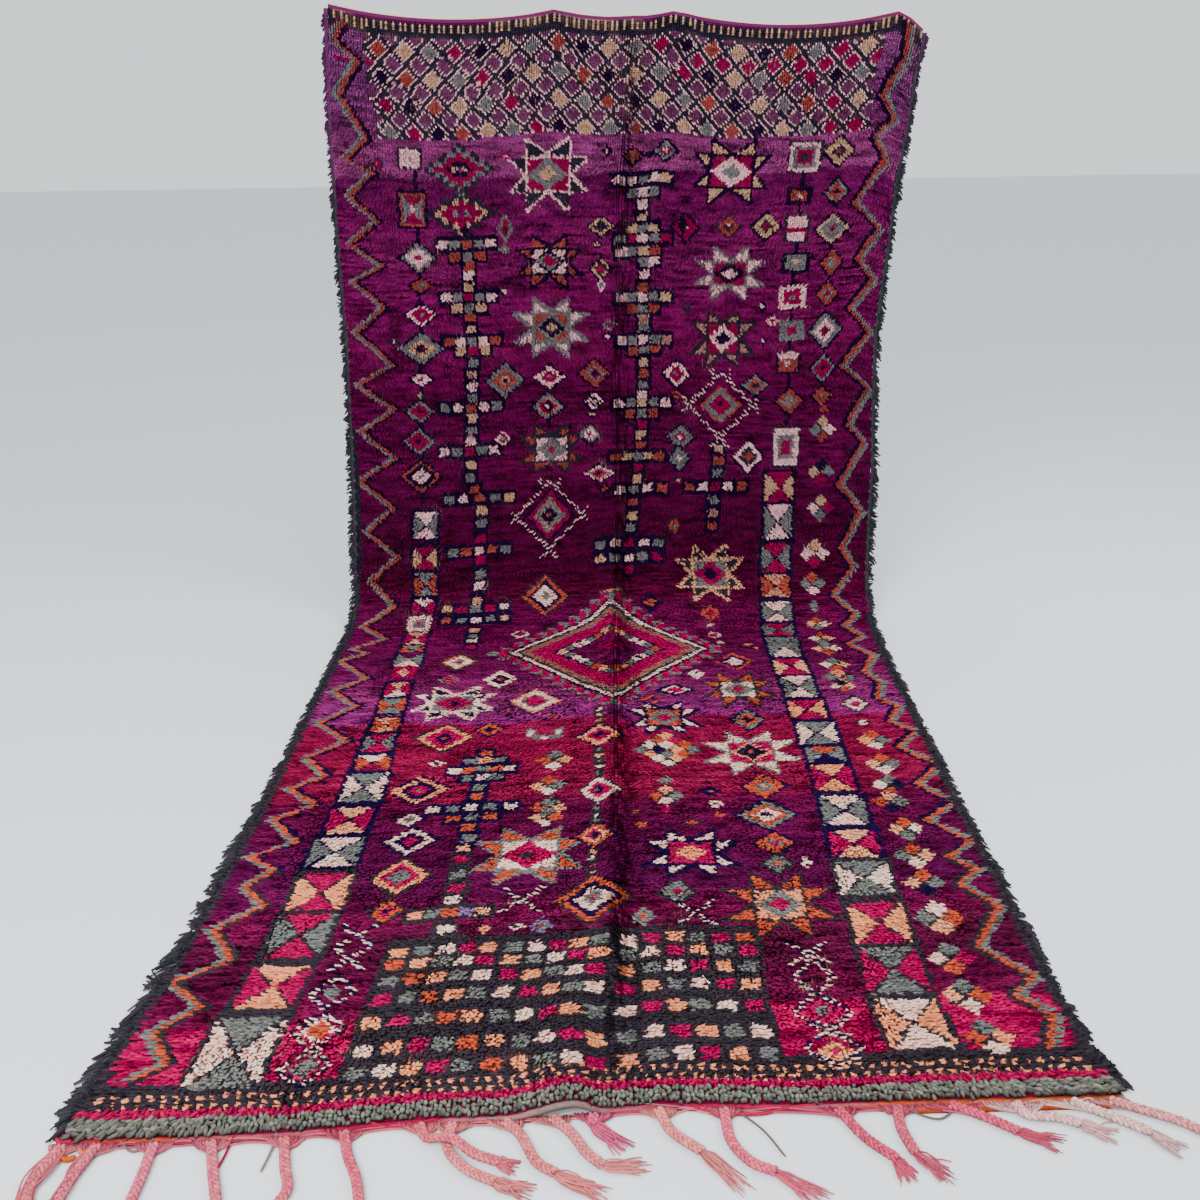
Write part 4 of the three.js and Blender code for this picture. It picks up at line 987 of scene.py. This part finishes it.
# Front rows: two rows of crimson loops and four of thick sage loops of wool, on the bare end of the pile.
# At both corners the loops are combed outwards into longer ends. Each is a plump blob of three rings of points
# and a point at either end.
AROUND = 7
polar, turn = np.linspace(0, math.pi, 5)[1:-1, None], np.arange(AROUND) * 2 * math.pi / AROUND
blob = np.broadcast_arrays(np.sin(polar) * np.cos(turn), np.sin(polar) * np.sin(turn), np.cos(polar))
blob = np.concatenate([np.stack(blob, -1).reshape(-1, 3), [(0, 0, 1), (0, 0, -1)]])
ring = np.arange(AROUND)
following = (ring + 1) % AROUND
blob_quads = np.stack([ring, ring + AROUND, following + AROUND, following], -1)
blob_quads = np.concatenate([blob_quads, blob_quads + AROUND])
blob_caps = np.concatenate([
    np.stack([ring, following, np.full(AROUND, 3 * AROUND)], -1),
    np.stack([following + 2 * AROUND, ring + 2 * AROUND, np.full(AROUND, 3 * AROUND + 1)], -1),
])
blob_spots = [(0.1 + 0.8 * s / AROUND, 0.25 + 0.25 * r) for r in range(3) for s in range(AROUND)]
blob_spots += [(0.5, 0.05), (0.5, 0.95)]

# Rows of loops: down the rug, pitch, half thickness, dye
loop_rows = (
    (4025, 9.0, 5.0, "#9c0042"), (4033, 9.0, 5.2, "#9c0042"), (4043, 8.1, 5.4, "#6f7166"),
    (4051, 8.1, 5.4, "#6a6a60"), (4060, 8.1, 5.6, "#70726a"), (4068, 8.1, 5.4, "#5c5a54"),
)
LOOP_LIFT = 9.5
centres, ways, sizes, tones = [], [], [], []
for d, pitch, half_thick, colour in loop_rows:
    number = np.arange(int((FLAT_WIDE + 14) / pitch))
    count = len(number)
    x = -6 + (number + random.uniform(0.2, 0.8, count)) * pitch
    at_d = d + random.normal(0, 2.4, count)
    combed = np.clip(1 - x / 420, 0, 1) * -1 + np.clip((x - 1330) / 420, 0, 1)
    turned = random.normal(0, 1, count) * (0.8 - 0.55 * np.abs(combed)) + combed * 1.3 + 0.2
    centres.append(cloth(x / FLAT_WIDE, at_d, LOOP_LIFT + random.normal(0, 1.0, count)))
    ahead = unit(cloth(x / FLAT_WIDE, at_d + 2, LOOP_LIFT) - cloth(x / FLAT_WIDE, at_d, LOOP_LIFT))
    lengthwise = np.cos(turned)[:, None] * ahead + np.sin(turned)[:, None] * np.cross((0, 0, 1), ahead)
    lengthwise[:, 2] -= 0.25
    lengthwise = unit(lengthwise)
    breadthwise = unit(np.cross((0, 0, 1), lengthwise))
    ways.append(np.stack([lengthwise, breadthwise, np.cross(lengthwise, breadthwise)], 1))
    half_long = half_thick * (1.1 + 1.3 * np.abs(combed)) * random.uniform(0.8, 1.25, count)
    half_wide = half_thick * random.uniform(0.66, 1.02, count)
    sizes.append(np.stack([half_long, half_wide, np.full(count, half_thick * 0.95)], -1) * MM)
    tone = np.array(linear(colour)) * random.uniform(0.55, 1.22, (count, 1))
    tones.append(tone * (1 + random.normal(0, 0.05, (count, 3))))
centres, ways, sizes, tones = (np.concatenate(part) for part in (centres, ways, sizes, tones))
loop_count = len(centres)
rough = random.uniform(0.74, 1.22, (loop_count, len(blob), 1))
mottle = random.uniform(0.72, 1.22, (loop_count, len(blob), 1))
points = centres[:, None, :] + np.einsum("pk,nk,nkc->npc", blob, sizes, ways) * rough
# Soft thick yarn, of wool in the loops and of warps in the plaits: matt, with 2.4 mm streaks
yarn_material = wool("thick_spun_yarn", 420)
loops = piece_from("front_loops", points, like_faces(loop_count, len(blob), blob_quads, blob_caps), yarn_material)
# Painted light: each loop is brighter on its top and darker underneath, as if lit from above
dye(loops, tones[:, None, :] * np.clip(0.4 + 0.7 * blob[:, 2], 0.08, 1.1)[:, None] * mottle)
give_square_of_cells(loops, loop_count, blob_spots)
sewn_pieces.append(loops)


# Front end: a narrow flat-woven strip past the pile, crimson and orange at the left corner, orange at the
# right. It is part of the cloth, 14 mm deep, and 28 mm deep at the right corner, where a flap of it lies open.
STRIP_DEEP = 14
strip_columns = np.linspace(0, 1, 181)
flap = STRIP_DEEP * np.clip((strip_columns - 0.74) / 0.06, 0, 1)
strip_d = STRIP_START + np.linspace(0, 1, 5)[:, None] * (STRIP_DEEP + flap)
strip = slab("end_strip", strip_columns, strip_d, (4.5, 0.4), foundation_material)
# Dyes along the strip: x, colour
strip_stops = (
    (0, "#a31a3d"), (90, "#b0342c"), (170, "#c4502e"), (190, "#b24a58"), (420, "#b04e62"), (430, "#9c1743"),
    (620, "#9c1743"), (640, "#b65c6c"), (840, "#8d7f74"), (1010, "#b00f48"), (1190, "#a81a4a"), (1290, "#b4566a"),
    (1400, "#c2502c"), (1790, "#c8552c"), (1800, "#a89a8a"),
)
strip_colour = dye_between(strip_columns * FLAT_WIDE, strip_stops)
# Painted shade: the strip is darker towards both its edges, 0.5 under the loops and 0.4 at its front edge
strip_colour = strip_colour * np.array([0.5, 0.75, 0.8, 0.6, 0.4])[:, None, None]
strip_colour = strip_colour * random.uniform(0.7, 1.2, (*strip_d.shape, 1))
dye(strip, np.stack([strip_colour, strip_colour]))
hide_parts("front_fringe")
sewn_pieces.append(strip)


# Plaits: the pinkish warps are drawn together into nineteen plaits of three strands, each with a frayed tassel.
# They lie on the floor. Root across, points from it (sideways, forward, lift over another plait), tassel's end,
# yarn.
plaits = (
    (-993, ((-18, 50), (-19, 89), (-8, 128)), (16, 160), "#c9747c"),
    (-933, ((-12, 43), (-21, 91), (-20, 132)), (-6, 172), "#c96f7c"),
    (-836, ((2, 65), (1, 111), (-4, 158)), (-18, 214), "#cd6f7f"),
    (-739, ((22, 59), (44, 116), (58, 156)), (80, 212), "#cf7480"),
    (-613, ((16, 58), (30, 98), (24, 124), (6, 158)), (-16, 208), "#cd6c79"),
    (-512, ((16, 46), (39, 93), (52, 136), (60, 164)), (84, 218), "#cc6473"),
    (-383, ((18, 26), (62, 40, 14), (103, 60), (148, 78)), (178, 86), "#cf7076"),
    (-323, ((-7, 36), (5, 66), (39, 98), (82, 119)), (145, 138), "#d98683"),
    (-234, ((31, 28), (60, 83), (94, 107)), (180, 149), "#d78480"),
    (-151, ((36, 32), (63, 74), (90, 99)), (168, 98), "#d98a84"),
    (-76, ((-3, 20),), (58, 70), "#cf5f83"),
    (37, ((22, 46), (71, 89)), (143, 164), "#d98a82"),
    (154, ((5, 64), (34, 110), (74, 131)), (146, 184), "#d4687a"),
    (355, ((36, 60), (80, 104)), (98, 150), "#c9566f"),
    (461, ((-4, 46), (8, 98)), (62, 150), "#cb6577"),
    (554, ((56, 26), (103, 57)), (171, 84), "#c75c70"),
    (671, ((12, 23), (62, 30), (98, 44)), (150, 68), "#e5c3b8"),
    (771, ((56, 30), (112, 66)), (150, 106), "#e3cfbd"),
    (839, ((54, 21), (101, 43), (132, 65)), (184, 104), "#d9a098"),
)


def smooth_path(stops, count):
    """Evenly spaced points on a smooth curve through the stops, and how far along it each one is."""
    stops = np.array(stops, float)
    padded = np.concatenate([[2 * stops[0] - stops[1]], stops, [2 * stops[-1] - stops[-2]]])
    s = np.linspace(0, 1, 24, endpoint=False)[:, None]
    pieces = []
    for a, b, c, d in zip(padded[:-3], padded[1:-2], padded[2:-1], padded[3:]):
        curve = 2 * b + (c - a) * s + (2 * a - 5 * b + 4 * c - d) * s ** 2 + (3 * b - a - 3 * c + d) * s ** 3
        pieces.append(0.5 * curve)
    points = np.concatenate(pieces + [stops[-1:]])
    far = np.concatenate([[0], np.cumsum(np.linalg.norm(np.diff(points, axis=0), axis=-1))])
    at = np.linspace(0, far[-1], count)
    return between(at, far, points), at


def front_edge(x):
    left, right = pile_edges(LENGTH)
    return cloth((x - left) / (right - left), LENGTH, 0)[1] / MM


# Millimetres that a strand takes to cross over and back, how far it swings sideways and up, and its lift
PLAIT_TURN, SIDE_SWING, UP_SWING, PLAIT_LIFT = 30, 6.4, 2.3, 7.4
STRAND_RADIUS = 3.8
PLAIT_RINGS, TASSEL_RINGS, LOOSE_RINGS = 60, 5, 20
TASSEL_ENDS, FAN_WARPS = 22, 30
# The yarns' colours are named as they look in the light. Their dyes are deeper.
YARN_DEPTH = np.array((0.79, 0.59, 0.66))
plait_paths, plait_dyes, tassel_paths, tassel_dyes, fan_paths, fan_dyes = ([] for _ in range(6))
plait_random = np.random.default_rng(41)
roots_x = [row[0] for row in plaits]
for number, (root, path, tassel, colour) in enumerate(plaits):
    edge_y = front_edge(root)
    stops = [(root, edge_y + 4, 7.2)]
    stops += [(root + p[0], edge_y - p[1], PLAIT_LIFT + (p[2] if len(p) > 2 else 0)) for p in path]
    line, at = smooth_path(stops, PLAIT_RINGS)
    side = np.cross((0, 0, 1), unit(np.gradient(line, axis=0)))
    for strand in range(3):
        turn = at / PLAIT_TURN * 2 * math.pi + strand * 2 * math.pi / 3
        offset = side * (SIDE_SWING * np.sin(turn))[:, None]
        offset[:, 2] += UP_SWING * np.sin(2 * turn)
        plait_paths.append((line + offset) * MM)
    yarn_tone = np.array(linear(colour)) * YARN_DEPTH
    strand_tone = yarn_tone * plait_random.uniform(0.85, 1.12, (3, 1))
    mottle = plait_random.uniform(0.72, 1.22, (3, PLAIT_RINGS, 1, 1))
    # Painted light round each strand: shade underneath and at the sides, a highlight on top
    painted_light_around_strand = np.array([0.22, 0.36, 0.92, 1.28, 0.92, 0.36])[:, None]
    plait_dyes.append(strand_tone[:, None, None, :] * mottle * painted_light_around_strand)
    # The tassel's ends spread from the plait's end and lie on the floor
    end = line[-1]
    way = np.array((root + tassel[0], edge_y - tassel[1], end[2])) - end
    tassel_long = np.linalg.norm(way)
    way /= tassel_long
    tassel_side = np.cross((0, 0, 1), way)
    spread = np.linspace(-1, 1, TASSEL_ENDS) + plait_random.normal(0, 0.12, TASSEL_ENDS)
    reach = tassel_long * plait_random.uniform(0.66, 1.1, TASSEL_ENDS)
    bend = plait_random.normal(0, 5, TASSEL_ENDS)
    height = plait_random.uniform(0.3, 1, TASSEL_ENDS)
    rings = []
    for share in np.linspace(0, 1, TASSEL_RINGS):
        points = end + way * (reach * share - 5 * (1 - share))[:, None]
        points += tassel_side * (spread * (4.5 + 13 * share ** 0.9) + bend * math.sin(share * 5))[:, None]
        points[:, 2] = 2.2 + height * np.interp(share, [0, 0.4, 1], [7, 6, 1.5]) * (1 - 0.4 * np.abs(spread))
        rings.append(points * MM)
    tassel_paths.append(np.stack(rings, 1))
    tassel_dyes.append(yarn_tone * plait_random.uniform(0.55, 1.25, (TASSEL_ENDS, 1)))
    # Warp ends gathered in a fan from the strip into the plait's root, widest near the right corner. Its five
    # rings of points: share of the fan's width, forward, lift.
    fan_widest = 34 if number < 15 else 58
    fan_left = min(fan_widest, 0.5 * (root - roots_x[number - 1]) + 4) if number else 24
    fan_right = min(fan_widest, 0.5 * (roots_x[number + 1] - root) + 4) if number + 1 < len(plaits) else 34
    gather = np.linspace(-1, 1, FAN_WARPS) + plait_random.normal(0, 0.03, FAN_WARPS)
    gather *= np.where(gather < 0, fan_left, fan_right)
    lead = (stops[1][0] - root) / max(edge_y - stops[1][1], 20)
    rings = []
    for wide, forward, lift in ((1, -9, 5.2), (0.9, 2, 5), (0.62, 11, 5), (0.26, 20, 6), (0.08, 30, 7)):
        rings.append(MM * np.stack([
            root + gather * wide + lead * max(forward, 0) * 0.8,
            edge_y - 0.8 * forward + plait_random.normal(0, 1.2, FAN_WARPS),
            lift + plait_random.normal(0, 0.7, FAN_WARPS),
        ], -1))
    fan_paths.append(np.stack(rings, 1))
    fan_dyes.append(yarn_tone * plait_random.uniform(0.4, 1.1, (FAN_WARPS, 1)))

plait_radii = np.full((len(plait_paths), PLAIT_RINGS), STRAND_RADIUS * MM)
plait_radii[:, 0] *= 0.7
tassel_radii = np.array([1.8, 1.9, 1.8, 1.7, 1.0]) * MM
tassel_radii = tassel_radii * plait_random.uniform(0.75, 1.1, (len(plaits) * TASSEL_ENDS, 1))
fan_radii = np.full((len(plaits) * FAN_WARPS, 5), 1.8 * MM)
plait_piece = strands_from("plaits", plait_paths, plait_radii, yarn_material, 6)
dye(plait_piece, np.concatenate(plait_dyes))
tassel_piece = strands_from("tassels", np.concatenate(tassel_paths), tassel_radii, yarn_material)
dye(tassel_piece, np.concatenate(tassel_dyes))
fan_piece = strands_from("warp_fans", np.concatenate(fan_paths), fan_radii, yarn_material)
dye(fan_piece, np.concatenate(fan_dyes))

# Loose ends that hang out of the strip, of weft and warp: yarn, radius, points [x, y] on the floor
loose_ends = [
    ("#a3103f", 2.4, ((-697, -1192), (-704, -1226), (-708, -1262), (-712, -1284))),
    ("#8a7f7c", 2.2, ((-631, -1205), (-629, -1231), (-632, -1262), (-637, -1291))),
    ("#77706c", 2.0, ((151, -1155), (183, -1177), (219, -1215), (249, -1270))),
    ("#7f7873", 2.2, ((466, -1160), (504, -1186), (531, -1192), (553, -1176), (549, -1156))),
    ("#a5133f", 3.0, ((-470, -1188), (-430, -1200), (-390, -1192), (-350, -1180))),
    ("#b0124a", 3.0, ((94, -1160), (146, -1174), (216, -1178), (272, -1163), (335, -1154))),
    ("#8f8683", 1.6, ((-70, -1148), (6, -1151), (77, -1160), (147, -1168), (220, -1172))),
    ("#8d837c", 2.2, ((-900, -1222), (-872, -1246), (-850, -1236), (-842, -1216))),
    ("#c0564f", 2.0, ((-590, -1200), (-584, -1228), (-596, -1240), (-600, -1216))),
    ("#f0741c", 5.0, ((-990, -1256), (-977, -1263), (-962, -1258))),
    ("#f07a1c", 4.2, ((-962, -1244), (-952, -1249), (-940, -1245))),
    ("#c02a50", 4.2, ((-1014, -1216), (-1002, -1226), (-984, -1222))),
    ("#c02a50", 3.4, ((-1010, -1208), (-985, -1214), (-958, -1214), (-930, -1222))),
]
# Twined cords that join the plaits' roots along the strip, sagging a little between them
for before, after in zip(plaits[:-1], plaits[1:]):
    for forward, cord_dye in ((-5, before[3]), (-1, "#a23a55"), (3, before[3])):
        stops = []
        for share in (0, 0.25, 0.5, 0.75, 1):
            x = before[0] + (after[0] - before[0]) * share
            sag = 9 * (1 - 4 * (share - 0.5) ** 2) - 6
            stops.append((x, front_edge(x) - forward + sag + plait_random.normal(0, 1.5)))
        loose_ends.append((cord_dye, 1.7, stops))
# The frayed yarns of the two plaits at the left corner
fray_start = len(loose_ends)
for root, path, tassel, colour in plaits[:2]:
    edge_y = front_edge(root)
    for _ in range(18):
        shift = plait_random.uniform(-13, 13, 2)
        stops = [(root + shift[0], edge_y + 2)]
        stops += [(root + p[0] + shift[0] + plait_random.normal(0, 5), edge_y - p[1] + shift[1]) for p in path]
        stops += [(root + tassel[0] + shift[0] * 1.1, edge_y - tassel[1] + shift[1])]
        loose_ends.append((colour, 1.8, stops))
loose_paths, loose_radii, loose_dyes = [], [], []
for number, (colour, thick, stops) in enumerate(loose_ends):
    line, at = smooth_path([(x, y, max(4.0, thick)) for x, y in stops], LOOSE_RINGS)
    if number >= fray_start:
        line[:, 2] += 9 * np.sin(np.linspace(0.4, 2.9, LOOSE_RINGS)) * plait_random.uniform(0.2, 1)
    loose_paths.append(line * MM)
    loose_radii.append([thick * MM] * (LOOSE_RINGS - 1) + [0.5 * thick * MM])
    loose_dyes.append(np.array(linear(colour)) * YARN_DEPTH * plait_random.uniform(0.7, 1.2))
loose_piece = strands_from("loose_ends", loose_paths, loose_radii, yarn_material, 4)
dye(loose_piece, loose_dyes)
for piece in (plait_piece, tassel_piece, fan_piece, loose_piece):
    sewn_pieces.append(piece)
